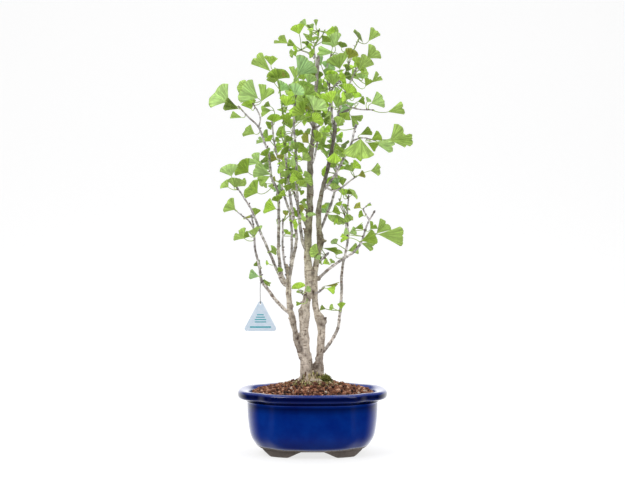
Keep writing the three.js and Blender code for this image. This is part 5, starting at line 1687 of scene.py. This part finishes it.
points, quads = sweptFloor()
sweep = bpy.data.meshes.new("backdrop")
sweep.from_pydata(points.tolist(), [], quads.tolist())
sweep.polygons.foreach_set("use_smooth", [True] * len(sweep.polygons))
backdrop = bpy.data.objects.new("backdrop", sweep)
bpy.context.scene.collection.objects.link(backdrop)
glow = {"Specular_IOR_Level": 0.1, "Emission_Color": (1, 1, 1, 1), "Emission_Strength": stage["glow"]}
sweep.materials.append(newMaterial("backdrop_paper", (0.3, 0.3, 0.302), 0.95, **glow))


def softbox(name, location, target, size, energy):
    # a square light that faces a point
    data = bpy.data.lights.new(name, "AREA")
    data.shape = "RECTANGLE"
    data.size, data.size_y = size
    data.energy = energy
    lamp = bpy.data.objects.new(name, data)
    bpy.context.scene.collection.objects.link(lamp)
    lamp.location = location
    lamp.rotation_euler = (Vector(target) - Vector(location)).to_track_quat("-Z", "Y").to_euler()


lamps = {
    "key": {"location": (-1.3, -1.5, 2.2), "target": (0, 0, 0.35), "size": (1.2, 1.2), "energy": 26},
    "fill": {"location": (1.6, -1.3, 1.5), "target": (0, 0, 0.35), "size": (1.0, 1.4), "energy": 10},
    "overhead": {"location": (0, 0.2, 2.6), "target": (0, 0, 0.3), "size": (2.2, 2.2), "energy": 22},
}
for name, lamp in lamps.items():
    softbox(name, **lamp)

# the room: seen directly it is white; its light is bright behind, above and at the sides, dim in front
world = bpy.data.worlds.new("room")
bpy.context.scene.world = world
world.use_nodes = True
direction = addNode(world, "TexCoord").outputs["Generated"]
split = addNode(world, "SeparateXYZ", {"Vector": direction})
room = {"dim": 0.02, "bright": 0.9, "shine": 0.75, "below": 0.2, "beside": 0.14}


def roomMath(operation, first, second=0.0):
    # one operation on two values
    return addNode(world, "Math", {0: first, 1: second}, operation=operation).outputs["Value"]


def roomShare(value, low, high):
    # a smooth step from the low value to the high one
    inputs = {"Value": value, "From Min": low, "From Max": high}
    return addNode(world, "MapRange", inputs, interpolation_type="SMOOTHSTEP").outputs["Result"]


path = addNode(world, "LightPath").outputs
# what gloss shows behind is bright only near the horizon
low = roomShare(split.outputs["Z"], 0.62, 0.22)
shown = roomMath("SUBTRACT", 1, roomMath("MULTIPLY", path["Is Glossy Ray"], roomMath("SUBTRACT", 1, low)))
behind = roomMath("MULTIPLY", roomShare(split.outputs["Y"], -0.25, 0.35), shown)
above = roomShare(split.outputs["Z"], 0.35, 0.75)
downward = roomMath("MULTIPLY", split.outputs["Z"], -1)
below = roomMath("MULTIPLY", roomShare(downward, 0.3, 0.8), room["below"])
sideways = roomMath("ABSOLUTE", split.outputs["X"])
beside = roomMath("MULTIPLY", roomShare(sideways, 0.7, 0.82), roomShare(sideways, 0.97, 0.85))
beside = roomMath("MULTIPLY", beside, room["beside"])
brightest = roomMath("MAXIMUM", roomMath("MAXIMUM", behind, above), roomMath("MAXIMUM", below, beside))
strength = roomMath("MULTIPLY_ADD", brightest, room["bright"])
strength.node.inputs[2].default_value = room["dim"]
shine = roomMath("MULTIPLY", path["Is Glossy Ray"], roomShare(split.outputs["Y"], 0.1, 0.75))
shine = roomMath("MULTIPLY", shine, low)
strength = roomMath("ADD", strength, roomMath("MULTIPLY", shine, room["shine"]))
background = world.node_tree.nodes["Background"].inputs
brightness = roomMath("MAXIMUM", strength, path["Is Camera Ray"])
world.node_tree.links.new(brightness, background["Strength"])
background["Color"].default_value = (1, 1, 1, 1)
backdrop.visible_glossy = False
bpy.context.scene.view_settings.view_transform = "Standard"
